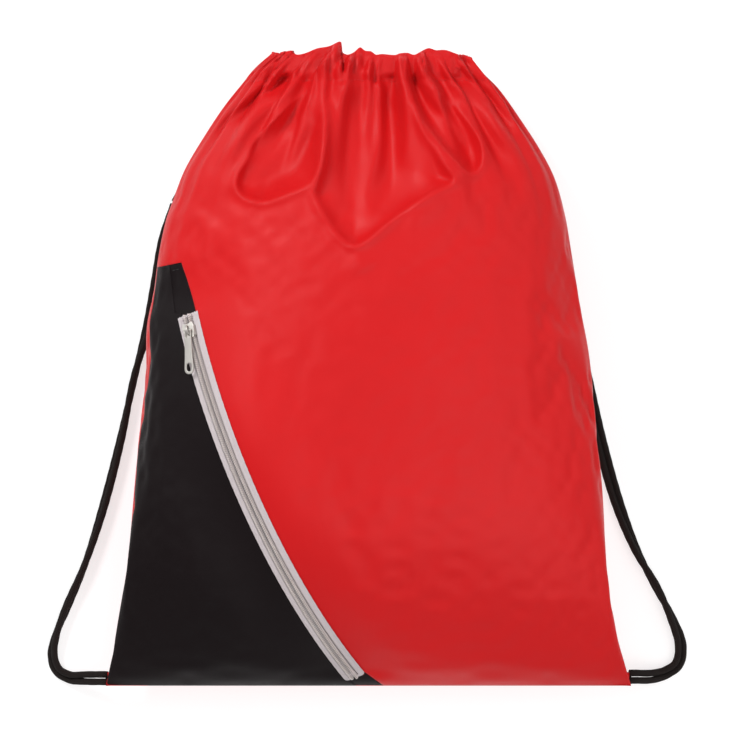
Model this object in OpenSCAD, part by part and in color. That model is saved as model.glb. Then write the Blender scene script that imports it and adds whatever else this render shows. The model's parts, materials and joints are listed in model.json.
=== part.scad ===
// Drawstring backpack with a slanting zip pocket, lightly filled and lying on its back panel.
// Millimetres. X runs across the sack, Y from the bottom seam to the gathered neck, Z up from
// the surface it lies on. The origin is the middle of the sack's footprint.

/* [Sack] */
// Width across the bottom seam
sack_w = 355; // [345:5:360]
// Length from the bottom seam to the top of the gathered neck
sack_h = 432; // [430:1:434]
// Height of the filled sack at its middle
sack_t = 102; // [98:1:104]
// Thickness of the cloth walls
wall = 1.2; // [1:0.1:1.4]

/* [Neck] */
// Length of each gathered hem sleeve
sleeve_l = 98; // [90:2:98]
// Radius of a sleeve at the top of a pleat
sleeve_r = 10.5; // [9.5:0.5:10.5]
// Height of a pleat above the valley beside it
pleat_h = 2.4; // [1:0.2:2.6]
// Number of pleats in a sleeve
pleats = 11; // [8:1:14]
// Distance between the front and rear sleeves
mouth_gap = 32; // [30:1:34]

/* [Cords] */
// Diameter of the braided drawcords
cord_d = 4.5; // [4:0.5:4.5]

/* [Zip] */
// Tape to the left of the chain's middle
tape_left = 7.4; // [6.4:0.2:7.4]
// Tape to the right of the chain's middle
tape_right = 7.8; // [6.8:0.2:7.8]
// Thickness of the woven tapes
tape_t = 0.7; // [0.5:0.1:0.7]
// Radius of one nylon coil
coil_r = 1.2; // [1.1:0.05:1.2]
// Length of the slider
slider_l = 11; // [9:0.5:12]
// Width of the slider
slider_w = 8.4; // [8.2:0.2:9.4]
// Length of the pull tab
pull_l = 30; // [24:1:32]
// Angle of the pull tab across the chain
pull_swing = 14; // [8:1:14]
// Angle at which the pull tab droops towards the cloth
pull_droop = 5; // [2:1:5]

/* [Hidden] */

cloth_red = "#d8262b";
cloth_black = "#1b191b";
tape_grey = "#cdc3c6";
coil_grey = "#c4b9b4";
thread_grey = "#b9afb0";
metal = "#b8b6b2";
cord_black = "#141213";

// Ribs of the filled sack: share of its length from the bottom seam, then half width as a share
// of half sack_w, then seam, top and underside heights as shares of sack_t, then sideways shift.
ribs = [
    [0.000, 1.000, 0.216, 0.228, 0.204, 0],
    [0.040, 0.967, 0.284, 0.425, 0.105, 0],
    [0.085, 0.946, 0.335, 0.590, 0.040, 0],
    [0.150, 0.922, 0.390, 0.765, -0.060, 0],
    [0.235, 0.899, 0.430, 0.905, -0.100, 0],
    [0.330, 0.882, 0.450, 0.990, -0.100, 0],
    [0.500, 0.840, 0.440, 1.000, -0.100, 0],
    [0.615, 0.802, 0.440, 0.970, -0.100, 0],
    [0.745, 0.742, 0.430, 0.900, -0.080, 1],
    [0.850, 0.630, 0.410, 0.820, -0.020, 2],
    [0.930, 0.490, 0.370, 0.700, 0.050, 2],
    [1.000, 0.380, 0.340, 0.580, 0.100, 2]
];
crown = 2.6;                // how flat a section is in its middle
flank = 0.62;               // how steeply it falls to the seams
rows = 28;                  // rings along each half shell
spokes = 18;                // facets across each half shell
shell_end = 194;            // where the cloth walls stop and the hem sleeves begin
reach = 600;                // half size of the cutting blocks

neck_y = sack_h / 2 - sleeve_r;
neck_x = -1;
neck_z = 34;
sleeve_bore = 5.2;
cord_r = cord_d / 2 - 0.05;
strand_gap = 0.5;           // between the two strands of a strap

// The zip is an arc over the front, through three places given as seen from above.
zip_window = 0.3;           // clearance between a tape's edge and the cloth beside it
zip_top = on_front(-121.5, 35);
zip_middle = on_front(-84, -80);
zip_bottom = on_front(-11, -207);
zip_centre = circle_centre(zip_top, zip_middle, zip_bottom);
zip_r = norm(zip_top - zip_centre);
zip_axis = unit(cross(zip_top - zip_centre, zip_middle - zip_centre));
zip_out = unit(zip_top - zip_centre);
zip_along = cross(zip_axis, zip_out);
zip_sweep = acos(zip_out * unit(zip_bottom - zip_centre));
slit = 0.4;                 // half the slit between the two tapes
coil_side = slit + coil_r + 0.05;
slider_rest = deg(13);      // arc from the top of the tape to the slider's middle
slider_travel = zip_sweep - slider_rest - deg(14);

pocket_top_y = 68;          // top edge of the pocket
facing_left = -2.4;         // fold line of the strip above the zip, from the chain's middle
lining_inset = 20;          // how far the lining lies under the pocket

plate_t = 1.1;              // slider plates
flange_t = 0.9;
plate_low = tape_t / 2 + 2 * coil_r + 0.35;
bridge_l = 6.4;
bridge_w = 1.4;
bridge_rise = 3.6;
bridge_t = 1.0;
pivot_up = plate_low + plate_t + 1.5;
pull_t = 1.0;
pull_bar_r = 0.7;
pull_arm_in = 1.8;
pull_arm_out = 2.8;
pull_ring_l = 7;
pull_tip_r = 3.3;
pull_eye_r = 2.0;

// Routes of the cords. A strap has two strands, one from each hem: x, y, z of the outer strand,
// then the angle at which the inner strand lies against it: 0 is beside it, 90 is on top of it.
left_strap = [
    [-132, 110, 2.4, 0], [-140, 86, 2.4, 0], [-145, 58, 2.4, 0], [-150, 30, 2.4, 50],
    [-158, -6, 2.4, 95], [-168, -48, 2.4, 75], [-180, -94, 2.4, 70], [-192, -134, 2.4, 90],
    [-204, -164, 2.4, 105], [-212, -182, 2.4, 80], [-215, -195, 2.4, 60], [-212, -206, 2.4, 50],
    [-203, -212, 4, 40], [-191, -213, 12, 15], [-180.6, -213, 18.4, 0]
];
right_strap = [
    [124, 112, 2.4, 0], [131, 88, 2.4, 0], [137, 56, 2.4, 0], [142, 24, 2.4, 10],
    [149, -6, 2.4, 40], [158, -46, 2.4, 30], [170, -90, 2.4, 35], [182, -124, 2.4, 70],
    [194, -149, 2.4, 105], [206, -170, 2.4, 70], [213, -188, 2.4, 45], [211, -202, 2.4, 40],
    [202, -209, 4, 35], [191, -212, 12, 15], [180.6, -212, 18.4, 0]
];
// Each drawcord runs from its strap up to the front hem, round the far side of the neck through
// both hems, and back down to the strap.
left_drawcord = [
    [-131.3, 111.4, 2.4], [-126, 121.5, 2.4], [-119, 134.5, 2.4], [-110, 147.5, 2.4],
    [-100.5, 159, 2.4], [-94, 168.5, 4], [-88.5, 178, 7.5], [-83.5, 186.5, 12.5],
    [-79.5, 192.8, 19.5], [-77, 197, 28], [-73.5, 200.2, 37], [-67.5, 202.8, 45],
    [-60, 204.8, 50.5], [-52, 205.5, 52.4], [-32, 205.5, 52.4],
    [31, 205.5, 52.4], [51, 205.5, 52.4], [57, 205.4, 50.9], [61.5, 205, 46], [63, 204.7, 38], [63, 204.7, 30],
    [61.5, 205, 22], [57, 205.4, 17.1], [51, 205.5, 15.6],
    [31, 205.5, 15.6], [-32, 205.5, 15.6], [-52, 205.5, 15.6], [-60, 204, 15], [-68, 199, 12.5], [-74.5, 191, 9], [-80.5, 181, 5.5],
    [-86.5, 170, 3], [-94, 157, 2.4], [-104.5, 144.5, 2.4], [-113.5, 132, 2.4],
    [-121, 119.8, 2.4], [-126.9, 109.9, 2.4]
];
right_drawcord = [
    [123.6, 113.4, 2.4], [119.5, 126, 2.4], [113.5, 138.5, 2.4], [107, 150, 2.4],
    [100.5, 160, 2.4], [95, 168.5, 3], [90.5, 176, 5.5], [86, 183, 9], [81.5, 189.3, 14],
    [77.2, 194.8, 19.5], [73.8, 197.6, 27], [69.8, 198.2, 34.5], [64.8, 198.4, 40.5],
    [58.8, 200.2, 44.8], [54.3, 203, 46.9], [48.5, 205.5, 47.6],
    [30, 205.5, 47.6], [-30, 205.5, 47.6], [-50, 205.5, 47.6], [-55.5, 206, 46.2], [-60, 206.5, 41.5], [-61.5, 206.5, 34],
    [-60, 206.5, 26.5], [-55.5, 206, 21.8], [-50, 205.5, 20.4],
    [-30, 205.5, 20.4], [30, 205.5, 20.4], [48.5, 205.5, 20.4], [54, 202.6, 20.9], [60.5, 197.8, 17.4], [66.5, 190, 12.5], [73.5, 180, 7.5],
    [80.5, 169, 4], [89.5, 157.5, 2.4], [99.5, 146, 2.4], [107.7, 134, 2.4],
    [114.8, 122, 2.4], [119, 112, 2.4]
];

function unit(v) = v / norm(v);
function deg(arc) = arc / zip_r * 180 / PI;

// Smooth value of column k of the ribs at a distance y along the sack.
function rib_at(s, i = 0) = i >= len(ribs) - 2 || s < ribs[i + 1][0] ? i : rib_at(s, i + 1);
function rib_slope(i, k) =
    let (a = max(i - 1, 0), b = min(i + 1, len(ribs) - 1))
    (ribs[b][k] - ribs[a][k]) / (ribs[b][0] - ribs[a][0]);
function rib(y, k) =
    let (s = y / sack_h + 0.5, i = rib_at(s), a = ribs[i], b = ribs[i + 1],
         h = b[0] - a[0], t = (s - a[0]) / h)
    (2 * t ^ 3 - 3 * t ^ 2 + 1) * a[k] + (t ^ 3 - 2 * t ^ 2 + t) * h * rib_slope(i, k)
    + (3 * t ^ 2 - 2 * t ^ 3) * b[k] + (t ^ 3 - t ^ 2) * h * rib_slope(i + 1, k);

function half_width(y) = rib(y, 1) * sack_w / 2;
function seam_z(y) = rib(y, 2) * sack_t;
function rise(y) = max(wall, (rib(y, 3) - rib(y, 2)) * sack_t);
function drop(y) = max(wall, (rib(y, 2) - rib(y, 4)) * sack_t);
function shift(y) = rib(y, 5);
function bulge(u) = abs(u) >= 1 ? 0 : (1 - abs(u) ^ crown) ^ flank;

// Point of the front (side = 1) or rear (side = -1) wall, a = 0 at the left seam, 180 at the right.
function wall_point(side, y, a, inset) =
    let (u = -sign(cos(a)) * abs(cos(a)) ^ 0.85, x = shift(y) + u * (half_width(y) - inset))
    side > 0 ? [x, y, seam_z(y) + max(0, rise(y) - inset) * bulge(u)]
             : [x, y, max(inset, seam_z(y) - max(0, drop(y) - inset) * bulge(u))];
function on_front(x, y) = [x, y, seam_z(y) + rise(y) * bulge((x - shift(y)) / half_width(y))];

function circle_centre(a, b, c) =
    let (u = b - a, v = c - a, n = cross(u, v))
    a + (cross(n, u) * (v * v) + cross(v, n) * (u * u)) / (2 * (n * n));

// Rows lie closer together near the bottom seam, where the sack curves most.
function row_y(j) = -sack_h / 2 + (shell_end + sack_h / 2) * (j / rows) ^ 1.25;

// A half shell between an outer and an inner skin, skin_in and skin_in + t under the surface,
// from one row to another.
module half_shell(side, skin_in = 0, t = wall, first = 0, last = rows) {
    n = spokes + 1;
    end = last - first;
    inner = (end + 1) * n;
    skin = function (inset) [for (j = [first:last], i = [0:spokes])
        wall_point(side, row_y(j), 180 * i / spokes, inset)];
    outer_quad = function (j, i) [j * n + i, (j + 1) * n + i, (j + 1) * n + i + 1, j * n + i + 1];
    quads = concat(
        [for (j = [0:end - 1], i = [0:spokes - 1]) outer_quad(j, i)],
        [for (j = [0:end - 1], i = [0:spokes - 1]) [for (k = [3:-1:0]) inner + outer_quad(j, i)[k]]],
        [for (j = [0:end - 1]) [j * n, inner + j * n, inner + (j + 1) * n, (j + 1) * n]],
        [for (j = [0:end - 1]) [j * n + spokes, (j + 1) * n + spokes,
            inner + (j + 1) * n + spokes, inner + j * n + spokes]],
        [for (i = [0:spokes - 1]) [i, i + 1, inner + i + 1, inner + i]],
        [for (i = [0:spokes - 1]) [end * n + i, inner + end * n + i,
            inner + end * n + i + 1, end * n + i + 1]]
    );
    triangles = [for (q = quads, half = [1, 2])
        let (f = [q[0], q[half], q[half + 1]]) side > 0 ? f : [f[2], f[1], f[0]]];
    polyhedron(concat(skin(skin_in), skin(skin_in + t)), triangles, convexity = 6);
}

// The zip's own frame: its children turn about Z, with X outwards at the top of the tape.
module zip_frame(turn = 0) {
    multmatrix([
        [zip_out[0], zip_along[0], zip_axis[0], zip_centre[0]],
        [zip_out[1], zip_along[1], zip_axis[1], zip_centre[1]],
        [zip_out[2], zip_along[2], zip_axis[2], zip_centre[2]],
        [0, 0, 0, 1]
    ]) rotate([0, 0, turn]) children();
}

// A bar that follows the zip: radial span, span across the chain, and angles along it.
module zip_bar(low, high, left, right, from, to) {
    zip_frame(from) rotate_extrude(angle = to - from, $fn = 180)
        translate([zip_r + low, left]) square([high - low, right - left]);
}

// Everything between two distances across the chain, from one y to another.
module slab(left, right, y_from, y_to) {
    intersection() {
        zip_frame() translate([-reach, -reach, left]) cube([2 * reach, 2 * reach, right - left]);
        translate([-reach, y_from, -reach]) cube([2 * reach, y_to - y_from, 2 * reach]);
    }
}

module rear_panel() {
    color(cloth_red) half_shell(-1);
}

module front_panel() {
    color(cloth_red) difference() {
        half_shell(1);
        slab(-reach, tape_right + zip_window, -reach, pocket_top_y);
    }
}

module pocket_panel() {
    color(cloth_black) intersection() {
        half_shell(1);
        union() {
            slab(-reach, -tape_left - zip_window, -reach, pocket_top_y);
            slab(-reach, facing_left, zip_top[1] + 3, pocket_top_y);
        }
    }
}

module pocket_lining() {
    color(cloth_black) intersection() {
        half_shell(1, lining_inset, 0.8, 5, 20);
        slab(-reach, tape_right + 12, -reach, pocket_top_y);
    }
}

// The strip of cloth that shows past the two ends of the zip.
module zip_facing() {
    color(cloth_black) intersection() {
        half_shell(1);
        union() {
            slab(facing_left + 0.2, tape_right, zip_top[1] + 3, pocket_top_y);
            slab(-tape_left, tape_right, -reach, zip_bottom[1] - 4.5);
        }
    }
}

// Overlocked seam allowance inside a side seam.
module side_seam(side) {
    from = 5;
    to = rows - 2;
    ring = function (j) let (y = row_y(j), x = half_width(y) - wall - 0.4, z = seam_z(y))
        [for (p = [[x, z - 0.5], [x - 8, z - 0.5], [x - 8, z + 0.5], [x, z + 0.5]])
            [shift(y) + side * p[0], y, p[1]]];
    color(cloth_red) tube([for (j = [from:to]) ring(j)], side > 0);
}

// Skins a row of rings, each a list of the same number of points, and closes both ends.
module tube(rings, flip = false) {
    n = len(rings[0]);
    last = (len(rings) - 1) * n;
    faces = concat(
        [for (j = [0:len(rings) - 2], i = [0:n - 1], half = [0, 1])
            let (a = j * n + i, b = j * n + (i + 1) % n)
            half == 0 ? [a, b, b + n] : [a, b + n, a + n]],
        [for (i = [1:n - 2]) [0, i + 1, i]],
        [for (i = [1:n - 2]) [last, last + i, last + i + 1]]
    );
    polyhedron([for (r = rings, p = r) p], [for (f = faces) flip ? [f[2], f[1], f[0]] : f], convexity = 8);
}

module bottom_seam() {
    allowance = 7;
    color(cloth_red) translate([-sack_w / 2 + 14, -sack_h / 2 + 4, seam_z(-sack_h / 2 + 4) - 0.3])
        cube([sack_w - 28, allowance, 1]);
}

// A gathered hem sleeve with the tunnel for both cords.
module hem_sleeve(z) {
    points = pleats * 4;
    edge = [for (i = [0:points]) [
        sleeve_r - pleat_h * (0.5 + 0.5 * cos(360 * pleats * i / points)),
        sleeve_l * (i / points - 0.5)]];
    translate([neck_x, neck_y, z]) rotate([0, 90, 0]) rotate_extrude($fn = 32)
        polygon(concat(edge, [[sleeve_bore, sleeve_l / 2], [sleeve_bore, -sleeve_l / 2]]));
}

module front_hem() {
    color(cloth_red) hem_sleeve(neck_z + mouth_gap / 2);
}

module rear_hem() {
    color(cloth_red) hem_sleeve(neck_z - mouth_gap / 2);
}

module zip_tape(left, right) {
    color(tape_grey) zip_bar(-tape_t / 2, tape_t / 2, left, right, 0, zip_sweep);
}

module zip_coil(side) {
    color(coil_grey) zip_frame() rotate_extrude(angle = zip_sweep - deg(0.6), $fn = 180)
        translate([zip_r + tape_t / 2 + coil_r + 0.02, side * coil_side]) circle(coil_r, $fn = 32);
}

// One row of thread along the outer edge of each tape.
module zip_stitching() {
    color(thread_grey) for (across = [-tape_left + 1.4, tape_right - 1.8])
        zip_bar(tape_t / 2, tape_t / 2 + 0.25, across - 0.3, across + 0.3, deg(2), zip_sweep - deg(2));
}

// A short bar tack across the coils at each end of the chain.
module zip_bar_tacks() {
    low = tape_t / 2 + 2 * coil_r + 0.06;
    color(thread_grey) for (from = [deg(1), zip_sweep - deg(3)])
        zip_bar(low, low + 0.5, -3.2, 3.2, from, from + deg(1.4));
}

// Slider: two plates joined by a web in the slit, flanges beside the coils, a bridge on top.
module zip_slider() {
    from = slider_rest - deg(slider_l / 2);
    to = slider_rest + deg(slider_l / 2);
    half = slider_w / 2;
    low = -tape_t / 2 - 0.4;
    color(metal) union() {
        zip_bar(plate_low, plate_low + plate_t, -half, half, from, to);
        for (edge = [-half, half - flange_t])
            zip_bar(tape_t / 2 + 0.3, plate_low + 0.1, edge, edge + flange_t, from, to);
        zip_bar(low - 0.1, plate_low + 0.1, -slit + 0.15, slit - 0.15, from, from + deg(3.5));
        zip_bar(low - plate_t, low, -half + 0.4, half - 0.4, from, to);
        bridge();
    }
}

// The arch that the pull tab's bar passes under.
module bridge() {
    foot = 0.2;
    zip_frame(slider_rest) translate([zip_r + plate_low + plate_t - foot, -bridge_l / 2, -bridge_w / 2])
        difference() {
            cube([bridge_rise + foot, bridge_l, bridge_w]);
            translate([-1, 1, -1]) cube([bridge_rise + foot + 1 - bridge_t, bridge_l - 2, bridge_w + 2]);
        }
}

// Pull tab: a flat plate with an oval eye, hung by a bar and two arms from the bridge.
module zip_pull() {
    width = 2 * pull_arm_out;
    color(metal) zip_frame(slider_rest) translate([zip_r + pivot_up, 0, 0])
        rotate([-pull_swing, 0, 0]) rotate([0, 0, pull_droop]) union() {
            cylinder(h = width, r = pull_bar_r, center = true, $fn = 24);
            for (low = [-pull_arm_out, pull_arm_in]) translate([-pull_t / 2, 0, low])
                cube([pull_t, pull_ring_l + 1, pull_arm_out - pull_arm_in]);
            rotate([0, -90, 0]) translate([0, 0, -pull_t / 2]) linear_extrude(pull_t) difference() {
                hull() {
                    translate([-pull_arm_out, pull_ring_l]) square([width, 1]);
                    translate([0, pull_l - pull_tip_r]) circle(pull_tip_r, $fn = 32);
                }
                hull() for (end = [-1, 1])
                    translate([0, pull_l - pull_tip_r - 1 + end * 1.1]) circle(pull_eye_r, $fn = 32);
            }
        }
}

// Folded webbing sewn under each bottom corner, where a strap's strands end.
module corner_tab(side) {
    color(cloth_black) translate([side * 171.9 - 5.9, -214.5, 16.6]) cube([11.8, 8, 3.7]);
}

// Directions along a route, and the level direction across it that points at the sack.
function along(route, i) =
    unit(point(route[min(i + 1, len(route) - 1)]) - point(route[max(i - 1, 0)]));
function point(p) = [p[0], p[1], p[2]];
function across(route, i, side) =
    let (d = along(route, i)) unit([side * d[1], -side * d[0], 0]);
function beside(route, side, gap) = [for (i = [0:len(route) - 1])
    point(route[i]) + gap * (cos(route[i][3]) * across(route, i, side) + sin(route[i][3]) * [0, 0, 1])];
function ring(route, i, r, sides) =
    let (d = along(route, i), a = unit(cross(d, abs(d[2]) > 0.9 ? [0, 1, 0] : [0, 0, 1])), b = cross(d, a))
    [for (k = [0:sides - 1]) point(route[i]) + r * (cos(360 * k / sides) * a + sin(360 * k / sides) * b)];

module cord(route) {
    sides = 8;
    tube([for (i = [0:len(route) - 1]) ring(route, i, cord_r, sides)]);
}

// Both strands of one strap, from where they come out from under the sack to the corner tab.
module strap(route, side) {
    color(cord_black) {
        cord(route);
        cord(beside(route, side, cord_d + strand_gap));
    }
}

module drawcord(route) {
    color(cord_black) cord(route);
}

rear_panel();
front_panel();
pocket_panel();
pocket_lining();
zip_facing();
side_seam(-1);  // side_seam_left
side_seam(1);  // side_seam_right
bottom_seam();
front_hem();
rear_hem();
corner_tab(-1);  // corner_tab_left
corner_tab(1);  // corner_tab_right
zip_tape(-tape_left, -slit);  // zip_tape_left
zip_tape(slit, tape_right);  // zip_tape_right
zip_coil(-1);  // zip_coil_left
zip_coil(1);  // zip_coil_right
zip_stitching();
zip_bar_tacks();
zip_slider();
zip_pull();
drawcord(left_drawcord);
drawcord(right_drawcord);
strap(left_strap, -1);  // left_strap_cord
strap(right_strap, 1);  // right_strap_cord
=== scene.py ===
"""Drawstring backpack with a slanting zip pocket, lightly filled and lying on its back.

Metres, in the CAD frame: X across the sack, Y from the bottom seam to the gathered neck, Z up from
the surface it lies on. The sack's cloth is inflated by a cloth simulation from its flat cut, then
the gathers of the neck are worked into it, and the panels are cut out of that one surface."""

import json
import math

import bmesh
import bpy
import numpy as np
from mathutils import Matrix, Vector
from mathutils.bvhtree import BVHTree


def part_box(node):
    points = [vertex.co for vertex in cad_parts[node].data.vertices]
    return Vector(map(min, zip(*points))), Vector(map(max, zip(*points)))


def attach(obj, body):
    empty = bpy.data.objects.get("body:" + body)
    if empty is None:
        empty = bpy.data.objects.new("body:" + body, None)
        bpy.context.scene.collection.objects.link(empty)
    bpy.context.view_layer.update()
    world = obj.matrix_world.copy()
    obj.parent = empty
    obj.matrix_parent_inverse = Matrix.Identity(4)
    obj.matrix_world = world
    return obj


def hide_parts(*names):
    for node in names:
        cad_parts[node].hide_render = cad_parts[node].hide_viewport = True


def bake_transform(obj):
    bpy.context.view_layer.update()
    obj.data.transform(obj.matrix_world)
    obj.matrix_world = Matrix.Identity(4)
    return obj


MM = 0.001

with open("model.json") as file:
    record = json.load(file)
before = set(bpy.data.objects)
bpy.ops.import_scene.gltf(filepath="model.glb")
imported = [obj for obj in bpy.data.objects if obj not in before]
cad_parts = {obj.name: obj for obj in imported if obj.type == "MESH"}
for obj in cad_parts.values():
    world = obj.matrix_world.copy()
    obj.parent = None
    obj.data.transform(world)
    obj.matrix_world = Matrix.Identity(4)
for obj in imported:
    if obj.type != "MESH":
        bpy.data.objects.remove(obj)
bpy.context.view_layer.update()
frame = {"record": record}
joints = {joint["name"]: joint for joint in frame["record"]["behaviour"]["joints"]}
scene = bpy.context.scene


# ---------------------------------------------------------------- small tools

def unit(v):
    return v / np.linalg.norm(v, axis=-1, keepdims=True)


def smooth(t):
    t = np.clip(t, 0, 1)
    return t * t * (3 - 2 * t)


def bell(distance, width):
    return np.exp(-(distance / width) ** 2)


def from_sides(across, share):
    """0 at the side seams, rising to 1 inwards; a larger share rises more slowly."""
    return smooth(4 * across * (1 - across) / share)


def evened(values, reach):
    """A moving average over reach values to each side."""
    count = 2 * reach + 1
    return np.convolve(np.pad(values, reach, mode="edge"), np.ones(count) / count, "valid")


def distances(line):
    """How far along a line of points each of them is."""
    return np.concatenate([[0], np.cumsum(np.linalg.norm(np.diff(line, axis=0), axis=1))])


def refine(points, k, axis=0):
    """k times as many rows along axis, on a smooth curve through the ones given."""
    p = np.moveaxis(np.asarray(points, float), axis, 0)
    p = np.concatenate([2 * p[:1] - p[1:2], p, 2 * p[-1:] - p[-2:-1]])
    a, b, c, d = p[:-3], p[1:-2], p[2:-1], p[3:]
    return np.moveaxis(through(b, c, (c - a) / 2, (d - b) / 2, k), 0, axis)


def through(b, c, leaving, arriving, k):
    """Curves from each b to each c with the given slopes, k steps each, one after another."""
    steps = []
    for m in range(k):
        t = m / k
        steps.append((2 * t**3 - 3 * t**2 + 1) * b + (t**3 - 2 * t**2 + t) * leaving
                     + (3 * t**2 - 2 * t**3) * c + (t**3 - t**2) * arriving)
    return np.concatenate([np.stack(steps, 1).reshape(-1, *b.shape[1:]), c[-1:]])


def route_curve(points, k):
    """A smooth curve through unevenly spaced points that doesn't swing out between them."""
    p = np.asarray(points, float)
    p = np.concatenate([2 * p[:1] - p[1:2], p, 2 * p[-1:] - p[-2:-1]])
    a, b, c, d = p[:-3], p[1:-2], p[2:-1], p[3:]
    before, here, after = (np.linalg.norm(v, axis=1, keepdims=True) ** 0.5 for v in (b - a, c - b, d - c))
    leaving = here * ((b - a) / before - (c - a) / (before + here) + (c - b) / here)
    arriving = here * ((c - b) / here - (d - b) / (here + after) + (d - c) / after)
    return through(b, c, leaving, arriving, k)


def table(pairs):
    """A smooth function through (x, value) pairs, in millimetres in and out, used in metres."""
    dense = refine(np.array(pairs, float) * MM, 8)
    order = np.argsort(dense[:, 0])
    return lambda x: np.interp(x, dense[order, 0], dense[order, 1])


def make(name, verts, faces, uv=None):
    """A mesh object; uv is one pair for each vertex."""
    mesh = bpy.data.meshes.new(name)
    mesh.from_pydata([tuple(map(float, v)) for v in verts], [], [tuple(map(int, f)) for f in faces])
    if uv is not None:
        layer = mesh.uv_layers.new(name="cloth")
        loops = np.zeros(len(mesh.loops), int)
        mesh.loops.foreach_get("vertex_index", loops)
        layer.data.foreach_set("uv", np.asarray(uv, np.float32)[loops].ravel())
    mesh.update()
    piece = bpy.data.objects.new(name, mesh)
    scene.collection.objects.link(piece)
    shade_smooth(mesh)
    return piece


def shade_smooth(mesh):
    mesh.polygons.foreach_set("use_smooth", [True] * len(mesh.polygons))


def grid_faces(rows, columns, closed=False):
    """Quads of a grid of points in rows; closed joins the last column to the first."""
    quads = []
    for j in range(rows - 1):
        for i in range(columns if closed else columns - 1):
            k = (i + 1) % columns
            quads.append((j * columns + i, j * columns + k, (j + 1) * columns + k, (j + 1) * columns + i))
    return quads


def finish_piece(piece, body, material, slot, *nodes):
    """body is None for a piece that is attached to no body."""
    if body:
        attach(piece, body)
    piece.data.materials.clear()
    piece.data.materials.append(material)
    if nodes:
        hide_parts(*nodes)


def thicken(piece, thickness, offset=-1):
    modifier = piece.modifiers.new("thickness", "SOLIDIFY")
    modifier.thickness = thickness
    modifier.offset = offset
    modifier.use_even_offset = False


def curve_frames(path):
    """Unit side and up at each point of a path, turned as little as possible."""
    tangent = unit(np.gradient(path, axis=0))
    side = np.zeros_like(path)
    side[0] = unit(np.cross(tangent[0], (0, 0, 1) if abs(tangent[0][2]) < 0.9 else (0, 1, 0)))
    for i in range(1, len(path)):
        side[i] = unit(side[i - 1] - tangent[i] * np.dot(side[i - 1], tangent[i]))
    return side, np.cross(tangent, side)


def tube(name, path, radius, sides, uv=None):
    """A closed tube round a path; radius is one number, or one for each ring and side."""
    side, up = curve_frames(path)
    around = np.arange(sides) * 2 * math.pi / sides
    ring = np.cos(around)[None, :, None] * side[:, None] + np.sin(around)[None, :, None] * up[:, None]
    body = np.broadcast_to(radius, ring.shape[:2])[..., None] * ring
    last = (len(path) - 1) * sides
    faces = grid_faces(len(path), sides, closed=True)
    faces += [tuple(reversed(range(sides))), tuple(last + k for k in range(sides))]
    verts = (path[:, None] + body).reshape(-1, 3)
    return make(name, verts, faces, np.zeros((len(verts), 2)) if uv is None else uv)


def evenly(path, step):
    """Points at even distances along a path."""
    along = distances(path)
    count = max(2, int(round(along[-1] / step)) + 1)
    at = np.linspace(0, along[-1], count)
    return np.stack([np.interp(at, along, path[:, k]) for k in range(3)], 1), along[-1]


# ---------------------------------------------------------------- camera

VIEW_WIDTH = 505 * MM
VIEW_HEIGHT = 8.0
SENSOR = 36
MIDDLE_Z = 45 * MM          # the sack's outline lies at about this height

camera = bpy.data.objects.new("camera", bpy.data.cameras.new("camera"))
camera.location = (4.4 * MM, -5.7 * MM, VIEW_HEIGHT)
camera.data.sensor_width = SENSOR
camera.data.lens = SENSOR * (VIEW_HEIGHT - MIDDLE_Z) / VIEW_WIDTH
scene.collection.objects.link(camera)
scene.camera = camera


# ---------------------------------------------------------------- materials

def nodes_of(name):
    material = bpy.data.materials.new(name)
    material.use_nodes = True
    tree = material.node_tree
    return material, tree, tree.nodes["Principled BSDF"]


def add(tree, kind, **settings):
    node = tree.nodes.new(kind)
    for key, value in settings.items():
        if key in node.inputs:
            node.inputs[key].default_value = value
        else:
            setattr(node, key, value)
    return node


def constants(node, **values):
    """Sets a node's inputs; an underscore stands for a space in an input's name."""
    for key, value in values.items():
        node.inputs[key.replace("_", " ")].default_value = value


def cloth_coordinates(tree):
    """Metres across and along the flat cloth."""
    return add(tree, "ShaderNodeUVMap", uv_map="cloth").outputs["UV"]


def object_coordinates(tree):
    return add(tree, "ShaderNodeTexCoord").outputs["Object"]


def blended(tree, factor, low, high):
    mix = add(tree, "ShaderNodeMix", data_type="RGBA")
    tree.links.new(factor, mix.inputs["Factor"])
    constants(mix, A=(*low, 1), B=(*high, 1))
    return mix.outputs["Result"]


def combined(tree, operation, first, second):
    """One value from two, by a math operation."""
    node = add(tree, "ShaderNodeMath", operation=operation)
    tree.links.new(first, node.inputs[0])
    tree.links.new(second, node.inputs[1])
    return node.outputs[0]


def shaded_between(tree, colour, weave, strength):
    """The colour, darker between the threads of a weave."""
    mix = add(tree, "ShaderNodeMix", data_type="RGBA", blend_type="MULTIPLY")
    constants(mix, Factor=strength)
    tree.links.new(colour, mix.inputs["A"])
    tree.links.new(weave, mix.inputs["B"])
    return mix.outputs["Result"]


def worn(tree, shader, pattern, low, high):
    """Roughness between low and high, after a pattern."""
    wear = add(tree, "ShaderNodeMapRange")
    constants(wear, To_Min=low, To_Max=high)
    tree.links.new(pattern, wear.inputs["Value"])
    tree.links.new(wear.outputs["Result"], shader.inputs["Roughness"])


def bumped(tree, shader, heights):
    """heights: (output, depth in metres), from broad to fine."""
    last = None
    for height, depth in heights:
        bump = add(tree, "ShaderNodeBump", Strength=1.0, Distance=depth)
        tree.links.new(height, bump.inputs["Height"])
        if last is not None:
            tree.links.new(last, bump.inputs["Normal"])
        last = bump.outputs["Normal"]
    tree.links.new(last, shader.inputs["Normal"])


def threads(tree, coordinates, axis, period, distortion):
    """A wave with the given period in metres along one axis of the coordinates."""
    wave = add(tree, "ShaderNodeTexWave", bands_direction=axis)
    constants(wave, Scale=math.pi / 10 / period, Distortion=distortion, Detail=0)
    tree.links.new(coordinates, wave.inputs["Vector"])
    return wave.outputs["Fac"]


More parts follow.
